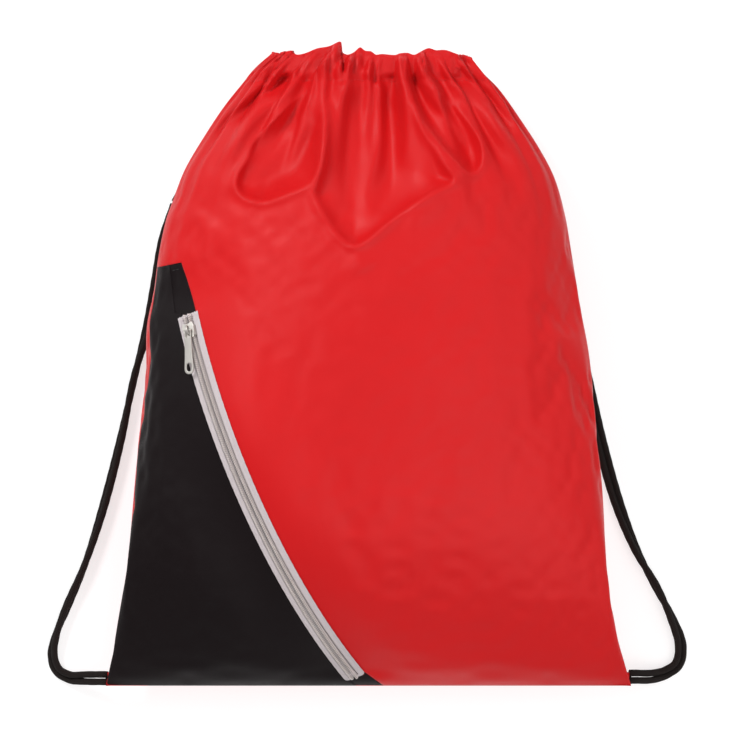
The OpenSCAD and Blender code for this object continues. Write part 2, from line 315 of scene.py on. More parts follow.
def noise(tree, coordinates, scale, detail, roughness=0.55):
    node = add(tree, "ShaderNodeTexNoise", Scale=scale, Detail=detail, Roughness=roughness)
    tree.links.new(coordinates, node.inputs["Vector"])
    return node.outputs["Fac"]


def woven(name, base, light, thread, roughness, sheen, gloss):
    """Plain weave that follows the cloth's own coordinates, with faint creases and colour changes."""
    material, tree, shader = nodes_of(name)
    cut, place = cloth_coordinates(tree), object_coordinates(tree)
    weave = combined(tree, "MULTIPLY", *(threads(tree, cut, axis, thread, 0.4) for axis in "XY"))
    tint = blended(tree, noise(tree, place, 14, 2), base, light)
    tree.links.new(shaded_between(tree, tint, weave, 0.16), shader.inputs["Base Color"])
    worn(tree, shader, noise(tree, place, 60, 4), roughness - 0.05, roughness + 0.07)
    constants(shader, Sheen_Weight=sheen, Sheen_Roughness=0.35, Specular_IOR_Level=gloss)
    bumped(tree, shader, [(noise(tree, place, 24, 3, 0.5), 0.6 * MM), (weave, 0.06 * MM)])
    return material


def tape_cloth():
    """Twill tape with ribs along its length and fine wefts across."""
    material, tree, shader = nodes_of("zip_tape_weave")
    cut = cloth_coordinates(tree)
    ribs = threads(tree, cut, "X", 1.1 * MM, 0.2)
    wefts = threads(tree, cut, "Y", 0.45 * MM, 0.3)
    tint = blended(tree, noise(tree, cut, 90, 3), (0.74, 0.655, 0.67), (0.82, 0.735, 0.75))
    tint = shaded_between(tree, tint, combined(tree, "MULTIPLY", ribs, wefts), 0.22)
    tree.links.new(tint, shader.inputs["Base Color"])
    constants(shader, Roughness=0.78, Sheen_Weight=0.25)
    bumped(tree, shader, [(ribs, 0.16 * MM), (wefts, 0.12 * MM)])
    return material


def nylon(name, low, high, roughness):
    material, tree, shader = nodes_of(name)
    place = object_coordinates(tree)
    tree.links.new(blended(tree, noise(tree, place, 240, 3), low, high), shader.inputs["Base Color"])
    constants(shader, Roughness=roughness)
    bumped(tree, shader, [(noise(tree, place, 1800, 2), 0.05 * MM)])
    return material


def braid():
    """Two sets of strands that cross, in the cord's own coordinates: round it, and along it."""
    material, tree, shader = nodes_of("cord_braid")
    cut = cloth_coordinates(tree)
    strands = []
    for turn in (-1, 1):
        lean = add(tree, "ShaderNodeVectorRotate", rotation_type="Z_AXIS", Angle=turn * math.radians(38))
        tree.links.new(cut, lean.inputs["Vector"])
        strands.append(threads(tree, lean.outputs[0], "X", 1.15 * MM, 0.3))
    cross = combined(tree, "MAXIMUM", *strands)
    # Painted shade: the cord's colour is lighter on the strands and darker between them, as shade between the
    # strands.
    tint = blended(tree, cross, (0.0015, 0.0012, 0.0012), (0.022, 0.016, 0.0145))
    tree.links.new(tint, shader.inputs["Base Color"])
    constants(shader, Roughness=0.7, Specular_IOR_Level=0.12)
    bumped(tree, shader, [(cross, 0.35 * MM), (threads(tree, cut, "Y", 0.22 * MM, 1.5), 0.06 * MM)])
    return material


def cast_metal():
    """Satin plated zinc, with small casting marks and wear."""
    material, tree, shader = nodes_of("zip_metal_satin")
    place = object_coordinates(tree)
    tint = blended(tree, noise(tree, place, 160, 4), (0.44, 0.415, 0.385), (0.56, 0.535, 0.50))
    tree.links.new(tint, shader.inputs["Base Color"])
    constants(shader, Metallic=0.85)
    worn(tree, shader, noise(tree, place, 420, 4), 0.28, 0.5)
    bumped(tree, shader, [(noise(tree, place, 700, 3), 0.06 * MM)])
    return material


def plain_floor():
    material, tree, shader = nodes_of("pale_floor")
    tint = blended(tree, noise(tree, object_coordinates(tree), 3, 2), (0.40, 0.40, 0.40), (0.43, 0.43, 0.43))
    tree.links.new(tint, shader.inputs["Base Color"])
    constants(shader, Roughness=0.9, Emission_Color=(1, 1, 1, 1), Emission_Strength=0.7)
    return material


WEAVE = 0.50 * MM           # from thread to thread
RED = woven("red_polyester", (0.63, 0.0078, 0.0095), (0.70, 0.0110, 0.0130), WEAVE, 0.32, 0.02, 0.15)
BLACK = woven("black_polyester", (0.0050, 0.0021, 0.0027), (0.0080, 0.0040, 0.0048), WEAVE, 0.46, 0.01, 0.12)
TAPE = tape_cloth()
COIL = nylon("coil_nylon", (0.66, 0.585, 0.56), (0.78, 0.70, 0.67), 0.42)
THREAD_PALE = nylon("thread_pale", (0.62, 0.55, 0.56), (0.74, 0.66, 0.67), 0.8)
THREAD_BROWN = nylon("thread_brown", (0.07, 0.045, 0.038), (0.12, 0.085, 0.07), 0.8)
# The coil core's dark taupe is painted shade between the coil's turns.
TAUPE_CORE_SHADE = nylon("taupe_core_shade", (0.26, 0.215, 0.20), (0.34, 0.285, 0.265), 0.8)
THREAD_RED = nylon("thread_red", (0.50, 0.012, 0.014), (0.62, 0.018, 0.020), 0.75)
THREAD_BLACK = nylon("thread_black", (0.014, 0.012, 0.013), (0.030, 0.027, 0.028), 0.75)
CORD = braid()
METAL = cast_metal()


# ---------------------------------------------------------------- cords

CORD_D = 4.5 * MM
STRAND_GAP = 0.5 * MM
CORD_STEP = 1.2 * MM        # distance between a cord's rings
BRAID_LAY = 9 * MM          # length of one turn of the braid
INTO_TAB = (4.5, 1.2)       # a strap's end runs this far inwards and up into its corner tab, in millimetres

# The outer strand of each strap, and the angle of the inner strand against it.
LEFT_STRAP = [
    (-132, 110, 2.4, 0), (-140, 86, 2.4, 0), (-145, 58, 2.4, 0), (-150, 30, 2.4, 50),
    (-158, -6, 2.4, 95), (-168, -48, 2.4, 75), (-180, -94, 2.4, 70), (-192, -134, 2.4, 90),
    (-204, -164, 2.4, 105), (-212, -182, 2.4, 80), (-215, -195, 2.4, 60), (-212, -206, 2.4, 50),
    (-203, -212, 4, 40), (-191, -213, 12, 15), (-180.6, -213, 18.4, 0),
]
RIGHT_STRAP = [
    (124, 112, 2.4, 0), (131, 88, 2.4, 0), (137, 56, 2.4, 0), (142, 24, 2.4, 10),
    (149, -6, 2.4, 40), (158, -46, 2.4, 30), (170, -90, 2.4, 35), (182, -124, 2.4, 70),
    (194, -149, 2.4, 105), (206, -170, 2.4, 70), (213, -188, 2.4, 45), (211, -202, 2.4, 40),
    (202, -209, 4, 35), (191, -212, 12, 15), (180.6, -212, 18.4, 0),
]
LEFT_DRAWCORD = [
    (-131.3, 111.4, 2.4), (-126, 121.5, 2.4), (-119, 134.5, 2.4), (-110, 147.5, 2.4),
    (-100.5, 159, 2.4), (-94, 168.5, 4), (-88.5, 178, 7.5), (-83.5, 186.5, 12.5), (-79.5, 192.8, 19.5),
    (-77, 197, 28), (-73.5, 200.2, 37), (-67.5, 202.8, 45), (-60, 204.8, 50.5), (-52, 205.5, 52.4),
    (-32, 205.5, 52.4), (31, 205.5, 52.4), (51, 205.5, 52.4), (57, 205.4, 50.9), (61.5, 205, 46),
    (63, 204.7, 38), (63, 204.7, 30), (61.5, 205, 22), (57, 205.4, 17.1), (51, 205.5, 15.6),
    (31, 205.5, 15.6), (-32, 205.5, 15.6), (-52, 205.5, 15.6), (-60, 204, 15), (-68, 199, 12.5),
    (-74.5, 191, 9), (-80.5, 181, 5.5), (-86.5, 170, 3), (-94, 157, 2.4), (-104.5, 144.5, 2.4),
    (-113.5, 132, 2.4), (-121, 119.8, 2.4), (-126.9, 109.9, 2.4),
]
RIGHT_DRAWCORD = [
    (123.6, 113.4, 2.4), (119.5, 126, 2.4), (113.5, 138.5, 2.4), (107, 150, 2.4), (100.5, 160, 2.4),
    (95, 168.5, 3), (90.5, 176, 5.5), (86, 183, 9), (81.5, 189.3, 14), (77.2, 194.8, 19.5),
    (73.8, 197.6, 27), (69.8, 198.2, 34.5), (64.8, 198.4, 40.5), (58.8, 200.2, 44.8), (54.3, 203, 46.9),
    (48.5, 205.5, 47.6), (30, 205.5, 47.6), (-30, 205.5, 47.6), (-50, 205.5, 47.6), (-55.5, 206, 46.2),
    (-60, 206.5, 41.5), (-61.5, 206.5, 34), (-60, 206.5, 26.5), (-55.5, 206, 21.8), (-50, 205.5, 20.4),
    (-30, 205.5, 20.4), (30, 205.5, 20.4), (48.5, 205.5, 20.4), (54, 202.6, 20.9),
    (60.5, 197.8, 17.4), (66.5, 190, 12.5), (73.5, 180, 7.5), (80.5, 169, 4), (89.5, 157.5, 2.4),
    (99.5, 146, 2.4), (107.7, 134, 2.4), (114.8, 122, 2.4), (119, 112, 2.4),
]


def inner_strand(route, side):
    """The strand that lies beside or on the outer one, as in the CAD."""
    points = np.array([p[:3] for p in route], float)
    angle = np.radians([p[3] for p in route])[:, None]
    along = np.empty_like(points)
    along[1:-1] = points[2:] - points[:-2]
    along[0], along[-1] = points[1] - points[0], points[-1] - points[-2]
    along = unit(along)
    inward = unit(np.stack([side * along[:, 1], -side * along[:, 0], np.zeros(len(points))], 1))
    gap = (CORD_D + STRAND_GAP) / MM
    return points + gap * (np.cos(angle) * inward + np.sin(angle) * np.array([0, 0, 1]))


def cord_piece(name, points):
    """A braided cord through points in millimetres, with strands that stand out a little."""
    path, length = evenly(route_curve(np.array([p[:3] for p in points], float) * MM, 8), CORD_STEP)
    sides, rows = 28, len(path)
    around = np.arange(sides) * 2 * math.pi / sides
    run = np.linspace(0, length, rows)[:, None]
    turn = 2 * math.pi * run / BRAID_LAY
    strands = np.maximum(np.cos(4 * around + turn), np.cos(4 * around - turn))
    uv = np.stack(np.broadcast_arrays(around * CORD_D / 2, run), -1).reshape(-1, 2)
    return tube(name, path, (CORD_D / 2 + 0.04 * MM) * (1 + 0.03 * strands), sides, uv), path, length


def strap(label, side, route):
    """Both strands of a strap, from the end of its drawcord to inside the corner tab."""
    inwards, up = INTO_TAB
    for kind, points in (("outer", np.array([p[:3] for p in route], float)),
                         ("inner", inner_strand(route, side))):
        points = [*points, points[-1] + np.array([-side * inwards, 0, up])]
        piece, path, length = cord_piece(f"{label}_strap_{kind}_strand", points)
        finish_piece(piece, None, CORD, "cord", f"{label}_strap_cord")
        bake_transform(piece)


for label, side, route, ring in (("left", -1, LEFT_STRAP, LEFT_DRAWCORD),
                                 ("right", 1, RIGHT_STRAP, RIGHT_DRAWCORD)):
    strap(label, side, route)
    piece, path, length = cord_piece(f"{label}_drawcord_in_hems", ring)
    finish_piece(piece, "sack", CORD, "cord", f"{label}_drawcord")


# ---------------------------------------------------------------- the sack's cloth

CUT_W = 355 * MM            # each panel's cut width between the seams
CUT_H = 457 * MM            # its cut length from the bottom seam to the rim
SACK_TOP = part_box("front_panel")[1][2]
SEAM_Y = -215.5 * MM        # the bottom seam

# Seams' places seen from above, as (y, x), and heights, as (share of the length, height).
SEAM_LEFT = table([(-216, -177.5), (-195, -172.8), (-171, -168.7), (-144, -164), (-117, -160.5),
                   (-76, -157), (-36, -153.2), (0, -149), (36, -145.5), (70, -142), (96, -137),
                   (111, -132), (133, -123.5), (156, -110), (176, -96.7), (193, -83.2), (198, -79.6),
                   (202.5, -75.2), (206, -71), (210, -66), (216, -60)])
SEAM_RIGHT = table([(-216, 177.5), (-201, 173), (-184, 168.4), (-160, 163.6), (-130, 160), (-83, 157.3),
                    (-49, 153.9), (4, 149), (38, 143), (75, 137), (102, 132.4), (126, 125.6),
                    (146, 115.5), (167, 102), (186, 88.6), (198, 77), (208, 69), (216, 62)])
SEAM_Z = table([(0, 22), (40, 29), (85, 34), (150, 40), (235, 44), (330, 45.5), (500, 45),
                (745, 44), (850, 42), (930, 38), (1000, 34)])
TOP_Z = table([(0, 22.5), (40, 43), (85, 60), (150, 78), (235, 92.5), (330, 99.5), (500, 102),
               (615, 99), (745, 92), (850, 84), (930, 74), (965, 70), (1000, 65)])
UNDER_Z = table([(0, 21.5), (40, 11), (85, 4), (150, 0.6), (235, 0.6), (330, 0.6), (500, 0.6),
                 (745, 0.6), (850, 1.5), (930, 5), (1000, 12)])
RIM_Y = table([(-90, 197), (-79, 201), (-72, 206), (-67, 209.2), (-61, 210.8), (-56.5, 209.6),
               (-50, 211.6), (-44.6, 208.9), (-40, 209.6), (-34, 213), (-27, 214.4), (-19.4, 217.6),
               (-16.8, 211), (-12.5, 208.8), (-9, 210.4), (-5.7, 213.8), (-2, 211.5), (2, 211), (5, 208.8),
               (9, 209.2), (14, 208.7), (17.4, 208.6), (20, 209.6), (25, 210), (29, 208.7), (34, 211),
               (40, 213.2), (44, 211.8), (48, 212), (51.5, 211.6), (57, 208.8), (60, 209), (64, 206.4),
               (72, 202.5), (78, 198.5), (100, 191)])
SHARE = 1000 * MM           # the tables of heights go by thousandths of the length

COLUMNS = 50                # cells across each panel in the simulation
ROWS = 64                   # cells along it
FRAMES = 30
FINE = 4                    # cells of the finished surface for each simulated one


START_L = 430 * MM          # the sack's length in plan before it settles


def start_shape(side, t, s):
    """Place of the point t of the way across (0 left, 1 right) and s of the way up, before it settles."""
    y = SEAM_Y + s * START_L
    left, right = SEAM_LEFT(y), SEAM_RIGHT(y)
    seam = SEAM_Z(s * SHARE)
    rise = (TOP_Z(s * SHARE) - seam) if side > 0 else (seam - UNDER_Z(s * SHARE))
    turn = math.pi * t
    crown = np.sin(turn)
    x = (left + right) / 2 - (right - left) / 2 * np.cos(turn)
    z = seam + side * rise * crown
    gathered = smooth((s - 0.6) / 0.4)
    pleats = gathered * (5.5 * MM * gathered * np.cos(2 * math.pi * 13.5 * t + (0.6 if side > 0 else 2.0))
                         + 3 * MM * np.cos(2 * math.pi * 4.5 * t + 1.0))
    return np.stack([x - 0.4 * np.cos(turn) * pleats, y + 0 * x, z + side * crown * pleats], -1)


def flat_cut(t, s):
    return np.stack([(t - 0.5) * CUT_W, s * CUT_H], -1)


def settle(front, rear):
    """Inflates the sewn sack a little on the surface it lies on, from its flat cut."""
    # One ring of cells round the sack: the front from left to right, then the rear back again. The
    # two share their points along the bottom seam.
    around = 2 * COLUMNS
    ring = np.arange(around)
    columns = np.minimum(ring, around - ring)
    numbers = np.concatenate([columns[None], COLUMNS + 1 + np.arange(ROWS * around).reshape(ROWS, around)])
    points = np.zeros((numbers.max() + 1, 3))
    flat = np.zeros_like(points)
    points[numbers] = np.concatenate([front, rear[:, COLUMNS - 1:0:-1]], 1)
    flat[numbers, :2] = flat_cut(*np.meshgrid(np.linspace(0, 1, COLUMNS + 1)[columns],
                                              np.arange(ROWS + 1) / ROWS))
    after = np.roll(numbers, -1, 1)
    faces = np.stack([numbers[:-1], after[:-1], after[1:], numbers[1:]], -1).reshape(-1, 4)
    cloth = make("cloth_in_the_making", points, faces)
    cloth.shape_key_add(name="Basis")
    cut = cloth.shape_key_add(name="cut")
    cut.data.foreach_set("co", flat.ravel())
    held = cloth.vertex_groups.new(name="held")
    held.add(numbers[-1].tolist(), 1.0, "REPLACE")
    ground = make("ground_in_the_making", [(-1, -1, 0), (1, -1, 0), (1, 1, 0), (-1, 1, 0)], [(0, 1, 2, 3)])
    ground.modifiers.new("collision", "COLLISION")
    ground.collision.thickness_outer = MM
    ground.collision.cloth_friction = 5
    modifier = cloth.modifiers.new("cloth", "CLOTH")
    settings = modifier.settings
    settings.quality = 7
    settings.mass = 20 * (CUT_W / COLUMNS) ** 2
    settings.tension_stiffness = settings.compression_stiffness = 30
    settings.shear_stiffness = 12
    settings.bending_stiffness = 0.15
    settings.tension_damping = settings.compression_damping = settings.shear_damping = 5
    settings.bending_damping = 0.5
    settings.air_damping = 2
    settings.use_pressure = True
    settings.uniform_pressure_force = 1.0
    settings.vertex_group_mass = "held"
    settings.pin_stiffness = 50
    settings.rest_shape_key = cut
    modifier.collision_settings.use_collision = True
    modifier.collision_settings.distance_min = MM
    modifier.collision_settings.use_self_collision = False
    modifier.point_cache.frame_start = 1
    modifier.point_cache.frame_end = FRAMES
    scene.gravity = (0, 0, -9.8)
    for number in range(1, FRAMES + 1):
        scene.frame_set(number)
    settled = cloth.evaluated_get(bpy.context.evaluated_depsgraph_get())
    out = np.zeros(points.size)
    settled.data.vertices.foreach_get("co", out)
    out = out.reshape(-1, 3)
    scene.frame_set(1)
    for piece in (cloth, ground):
        mesh = piece.data
        bpy.data.objects.remove(piece)
        bpy.data.meshes.remove(mesh)
    return out[numbers[:, :COLUMNS + 1]], out[numbers[:, -np.arange(COLUMNS + 1)]]


t_grid, s_grid = np.meshgrid(np.linspace(0, 1, COLUMNS + 1), np.linspace(0, 1, ROWS + 1))
front = start_shape(1, t_grid, s_grid)
rear = start_shape(-1, t_grid, s_grid)
rear[0] = front[0]
front, rear = settle(front, rear)
front = refine(refine(front, FINE, 0), FINE, 1)
rear = refine(refine(rear, FINE, 0), FINE // 2, 1)
LENGTHS = np.linspace(0, 1, len(front))[:, None]


def widest(most):
    """Where the settled sack reaches furthest to one side in each row, evened out along it."""
    every = most(np.concatenate([front[..., 0], rear[..., 0]], 1), axis=1)
    seam_x = front[:, 0 if most is np.min else -1, 0]
    share = smooth(np.minimum(LENGTHS, 1 - LENGTHS) / 0.06)[:, 0]
    return (seam_x + share * (evened(every, 8) - seam_x))[:, None]


FURTHEST_LEFT, FURTHEST_RIGHT = widest(np.min), widest(np.max)


def fit(panel, side):
    """Brings the settled cloth to the sack's outline, its straight bottom seam and its heights."""
    x, y, z = panel[..., 0], panel[..., 1], panel[..., 2]
    across = ((x - FURTHEST_LEFT) / (FURTHEST_RIGHT - FURTHEST_LEFT)).clip(0, 1)
    y = np.maximum(y - (y - SEAM_Y)[:1] * (1 - smooth(LENGTHS / 0.3)), SEAM_Y)
    x = SEAM_LEFT(y) + across * (SEAM_RIGHT(y) - SEAM_LEFT(y))
    rim = RIM_Y(x)
    y = y + (rim - y[-1:]) * smooth((LENGTHS - 0.88) / 0.12)
    x = SEAM_LEFT(y) + across * (SEAM_RIGHT(y) - SEAM_LEFT(y))
    if side > 0:
        top = evened(np.max(z, axis=1), 10)[:, None]
        z = z * (1 + from_sides(across, 0.6) * smooth(LENGTHS / 0.05) * (TOP_Z(LENGTHS * SHARE) / top - 1))
    return np.stack([x, y, z], -1), across


front, front_across = fit(front, 1)
rear, rear_across = fit(rear, -1)


# ---------------------------------------------------------------- the zip's arc

zip_joint = joints["zip_slide"]
ZIP_C = np.array(zip_joint["pos_m"])
ZIP_AXIS = unit(np.array(zip_joint["axis"], float))
ZIP_TOP = np.array([-121.5, 35, 74.54]) * MM
ZIP_R = np.linalg.norm(ZIP_TOP - ZIP_C)
ZIP_OUT = (ZIP_TOP - ZIP_C) / ZIP_R
ZIP_ALONG = np.cross(ZIP_AXIS, ZIP_OUT)
ZIP_SWEEP = math.radians(65.96)
ZIP_END = ZIP_SWEEP + 4.5 * MM / ZIP_R      # the tapes' free ends run on past the bar tack
TAPE_T = 0.7 * MM
TAPE_EDGES = (-7.4 * MM, 7.8 * MM)
SLIT = 0.4 * MM


def zip_frame(angle):
    """Outward and along directions of the zip's arc at an angle from its top."""
    angle = np.asarray(angle)[..., None]
    return (ZIP_OUT * np.cos(angle) + ZIP_ALONG * np.sin(angle),
            ZIP_ALONG * np.cos(angle) - ZIP_OUT * np.sin(angle))


def zip_point(angle, across, height):
    out, _ = zip_frame(angle)
    return ZIP_C + (ZIP_R + np.asarray(height)[..., None]) * out + ZIP_AXIS * np.asarray(across)[..., None]


def zip_place(points):
    """Angle, sideways distance and distance from the axis of points."""
    apart = points - ZIP_C
    across = apart @ ZIP_AXIS
    out = apart @ ZIP_OUT
    along = apart @ ZIP_ALONG
    return np.arctan2(along, out), across, np.hypot(out, along)


UNDER_TAPE = 0.8 * MM       # depth of the cloth under the zip's surface
LAID_NEAR, LAID_FAR = 9 * MM, 55 * MM       # it lies there up to near, and no longer at far
LAID_PAST = 40 * MM         # and fades out over this length past the zip's ends


def lay_on_zip(points):
    """The cloth beside the zip lies just under its tapes."""
    angle, across, radius = zip_place(points)
    beyond = np.maximum(-angle, angle - ZIP_SWEEP).clip(0) * ZIP_R
    weight = 1 - smooth((np.abs(across) - LAID_NEAR) / (LAID_FAR - LAID_NEAR))
    weight = weight * (1 - smooth(beyond / LAID_PAST))
    weight = weight * (radius > 0.6 * ZIP_R) * smooth((points[..., 1] - SEAM_Y) / (8 * MM))
    out, _ = zip_frame(angle)
    return points + (weight * (ZIP_R - UNDER_TAPE - radius))[..., None] * out


# ---------------------------------------------------------------- the gathers of the neck

# Hollows where the cloth sinks in between the pleats, as outlines seen from above.
HOLLOWS = (
    (12, [(-33, 225), (-34, 200), (-38, 189), (-51, 177), (-66, 163), (-77.5, 149.5), (-81, 140), (-87.5, 129),
          (-88.5, 120), (-83, 113), (-70, 110), (-56, 114.5), (-41, 121), (-34, 132), (-31.5, 150), (-31, 178),
          (-31.5, 200), (-32, 225)]),
    (10, [(-26, 225), (-28, 196), (-28.5, 178), (-29, 156), (-30.5, 138), (-35, 122), (-36.5, 115),
          (-29.5, 101), (-20.5, 87.5), (-10.2, 80.5), (0, 84.5), (15.5, 97.5), (31, 108.5), (46, 117.5),
          (57.5, 124.5), (49, 138), (38, 156), (31, 172), (27, 192), (25, 225)]),
    (11, [(29, 225), (29.5, 192), (35.5, 169), (46, 151), (57, 138), (66.5, 129.5), (73.3, 131), (76.8, 140),
          (75.3, 151), (69.5, 161), (62, 170), (53.8, 178.5), (42, 187), (34, 195), (32, 225)]),
)
# Ridges and valleys: height, half width at the low and high end, and the line from low to high.
FOLDS = (
    (2.2, 7, 4, [(-36, 124), (-30, 146), (-29, 165), (-29, 187)]),
    (3.2, 5, 3.2, [(22, 126), (25, 150), (23.4, 192)]),
    (-1.6, 6, 3, [(-10, 92), (-14, 130), (-13, 178)]),
    (-6.0, 16, 10, [(0, 94), (11, 120), (14, 150), (14, 198)]),
    (-2.6, 5, 3, [(0, 140), (3, 160), (4, 192)]),
    (2.0, 5, 3, [(-2, 110), (6, 140), (9, 185)]),
    (2.4, 6, 3, [(-74, 122), (-56, 152), (-37, 182)]),
    (-4.5, 9, 4, [(-66, 114), (-50, 134), (-35, 164)]),
    (-2.4, 4, 3, [(66, 134), (48, 156), (33, 186)]),
    (2.4, 4, 3, [(70, 146), (57, 165), (40, 184)]),
    (4.4, 8, 3.5, [(-104, 132), (-78, 164), (-48, 192)]),
    (-4.0, 6, 3, [(-116, 146), (-90, 168), (-56, 195)]),
    (3.4, 6, 3, [(-104, 160), (-84, 180), (-58, 200)]),
    (3.8, 8, 3.5, [(100, 140), (80, 166), (54, 196)]),
    (-3.8, 6, 3, [(104, 152), (84, 176), (62, 199)]),
    (-2.0, 8, 4, [(92, 122), (82, 152), (58, 184)]),
    (1.6, 9, 6, [(0, 62), (-5, 70), (-9, 77)]),
    (1.6, 9, 5, [(18, 92), (36, 104), (54, 114)]),
    (-1.6, 10, 6, [(-110, 92), (-96, 108), (-84, 116)]),
    (1.2, 10, 6, [(104, 96), (92, 112), (80, 126)]),
)
# Slots between pleats at the rim: x there, lean towards the sack's side, depth, half width, length.
SLOTS = (
    (-58, 0.8, 4, 2.2, 30), (-50.6, 0.75, 8, 1.9, 30), (-43, 0.5, 7, 1.5, 16), (-33.8, 0.1, 12, 2.4, 32),
    (-26, 0.05, 6, 1.4, 14), (-16.6, 0.05, 11, 1.8, 20), (-9.5, 0.15, 7, 1.5, 13), (-2.5, 0.05, 3.5, 1.3, 10),
    (4.6, 0.05, 11, 2.0, 30), (10.5, 0, 5.5, 1.3, 11), (17.2, 0.05, 12, 1.9, 26), (23.4, -0.05, 3, 1.2, 10),
    (29.6, -0.12, 12, 2.1, 36), (36.5, -0.4, 7, 1.6, 20), (44, -0.55, 7, 1.7, 22), (51, -0.7, 3, 1.4, 14),
    (57, -0.85, 4, 2.2, 28), (65, -1.0, 3, 2.0, 22),
)


def nearest_on(x, y, line):
    """Distance to a line of points, and how far along it the nearest point is, 0 to 1."""
    lengths = np.linalg.norm(np.diff(line, axis=0), axis=1)
    starts = distances(line)
    best, along = np.full(x.shape, 1e9), np.zeros(x.shape)
    for (ax, ay), (bx, by), length, start in zip(line[:-1], line[1:], lengths, starts):
        part = np.clip(((x - ax) * (bx - ax) + (y - ay) * (by - ay)) / length**2, 0, 1)
        distance = np.hypot(x - ax - part * (bx - ax), y - ay - part * (by - ay))
        closer = distance < best
        best = np.where(closer, distance, best)
        along = np.where(closer, (start + part * length) / starts[-1], along)
    return best, along


def inside_of(x, y, outline):
    """True inside a closed outline."""
    inside = np.zeros(x.shape, bool)
    for (ax, ay), (bx, by) in zip(outline, np.roll(outline, -1, axis=0)):
        crosses = (ay > y) != (by > y)
        slope = (bx - ax) / (by - ay) if by != ay else 0
        inside ^= crosses & (x < ax + (y - ay) * slope)
    return inside


HOLLOW_SIDE = 7             # millimetres over which a hollow's side slopes
LIP_H, LIP_W = 2.1, 3.4     # the ridge round a hollow: height and half width in millimetres
SLOT_TOP = 205              # the slots' places are given at this y, in millimetres


def gather(x, y):
    """Height that the gathers add to the front, in metres, at places seen from above."""
    x, y = x / MM, y / MM
    added = np.zeros(x.shape)
    for depth, outline in HOLLOWS:
        ring = refine(np.array([*outline, outline[0]], float), 5)
        distance, _ = nearest_on(x, y, ring)
        inside = inside_of(x, y, ring[:-1])
        fade = 1 - 0.8 * smooth((y - 168) / 26)
        dip = -depth * (1 - np.exp(-distance / HOLLOW_SIDE)) * fade
        lip = LIP_H * bell(distance, LIP_W) * (1 - 0.7 * smooth((y - 150) / 30))
        added += np.where(inside, dip + lip, lip)
    for height, low_width, high_width, line in FOLDS:
        distance, along = nearest_on(x, y, refine(np.array(line, float), 5))
        width = low_width + (high_width - low_width) * along
        ends = smooth(along / 0.35) * (1 - 0.6 * smooth((along - 0.75) / 0.25))
        added += height * ends * bell(distance, width)
    for place, lean, depth, width, length in SLOTS:
        below = np.clip(SLOT_TOP - y, -12, None)
        distance = np.abs(x - (place - lean * below))
        wide = width * (1 + below.clip(0) / 30)
        added -= depth * np.exp(-(distance / wide) ** 1.3) * (1 - smooth(below / length))
    return added * MM


# The cords' tops and undersides along the hems, which the cloth clears.
OVER_CORDS = table([(-100, 10), (-84, 24), (-78, 36), (-75, 41.5), (-72, 45.5), (-66, 51.5), (-60, 55.2),
                    (-52, 55.8), (51, 55.8), (57, 54.6), (62, 51), (66, 44), (70, 30), (80, 10), (100, 8)])
UNDER_CORDS = table([(-100, 40), (-80, 20), (-70, 12.5), (-58, 12), (51, 12), (57, 13.5), (62, 18), (66, 25),
                     (80, 40), (100, 40)])
HEM_TUNNEL = (198 * MM, 209.5 * MM)
HEM_MIDDLE_Y = 203 * MM
HEM_STITCH_Y = 192.5 * MM
FLATTENED = 0.22            # how far in from the side seams the gathers fade out
LOWEST = 0.3 * MM           # the cloth's least height over the floor


def in_tunnel(y):
    """1 where the cords run in the hem, 0 away from it."""
    return smooth((y - HEM_TUNNEL[0] + 4 * MM) / (4 * MM)) * (1 - smooth((y - HEM_TUNNEL[1]) / (2 * MM)))


def shape_front(points):
    """Works the gathers, the hem and the room for the cords and the zip into the front."""
    x, y, z = (points[..., k].copy() for k in range(3))
    edge = from_sides(front_across, FLATTENED)
    broad = (np.sin(x / (47 * MM) + 1.3 * np.sin(y / (83 * MM))) * np.sin(y / (61 * MM) + 0.8)
             + 0.6 * np.sin((x + y) / (29 * MM)) * np.sin((x - 0.6 * y) / (37 * MM)))
    z += edge * (gather(x, y) + 0.5 * MM * broad)
    stitched = 1.1 * MM * bell(y - HEM_STITCH_Y, 2.2 * MM)
    z += edge * (bell(y - HEM_MIDDLE_Y, 7 * MM) * 3 * MM - stitched * (1 + 0.5 * np.sin(x / (4.1 * MM))))
    roll = smooth((y - (RIM_Y(x) - 5 * MM)) / (5 * MM))
    z -= edge * 3 * MM * roll**2
    over = OVER_CORDS(x)
    least = over + 0.15 * (z - over).clip(-4 * MM, 0)
    z = np.where(in_tunnel(y) > 0, np.maximum(z, z + in_tunnel(y) * (least - z)), z)
    z = np.maximum(z, over - 2 * MM - 100 * MM * (1 - smooth((y - 200 * MM) / (8 * MM))))
    return lay_on_zip(np.stack([x, y, np.minimum(z, SACK_TOP + 2 * MM)], -1))


def shape_rear(points):
    """Pleats the rear towards the neck, and keeps it under the cords and over the floor."""
    x, y, z = (points[..., k].copy() for k in range(3))
    edge = from_sides(rear_across, FLATTENED)
    turn = (x / MM) / (1 + (208 - y / MM).clip(0) / 150)
    fade = smooth((y - 60 * MM) / (135 * MM))
    z += edge * fade * MM * (3.2 * fade * np.sin(turn / 4.6 + 0.7) + 2.2 * np.sin(turn / 9.5 + 2.0))
    z += edge * (bell(y - HEM_MIDDLE_Y, 8 * MM) * -3 * MM + bell(y - 193 * MM, 3.5 * MM) * 3 * MM)
    z = np.where(in_tunnel(y) > 0, np.minimum(z, z + in_tunnel(y) * (UNDER_CORDS(x) - z)), z)
    y[1:] = np.maximum(y[1:], SEAM_Y + 1.2 * MM)
    return np.stack([x, y, np.maximum(z, LOWEST)], -1)


front = shape_front(front)
rear = shape_rear(rear)
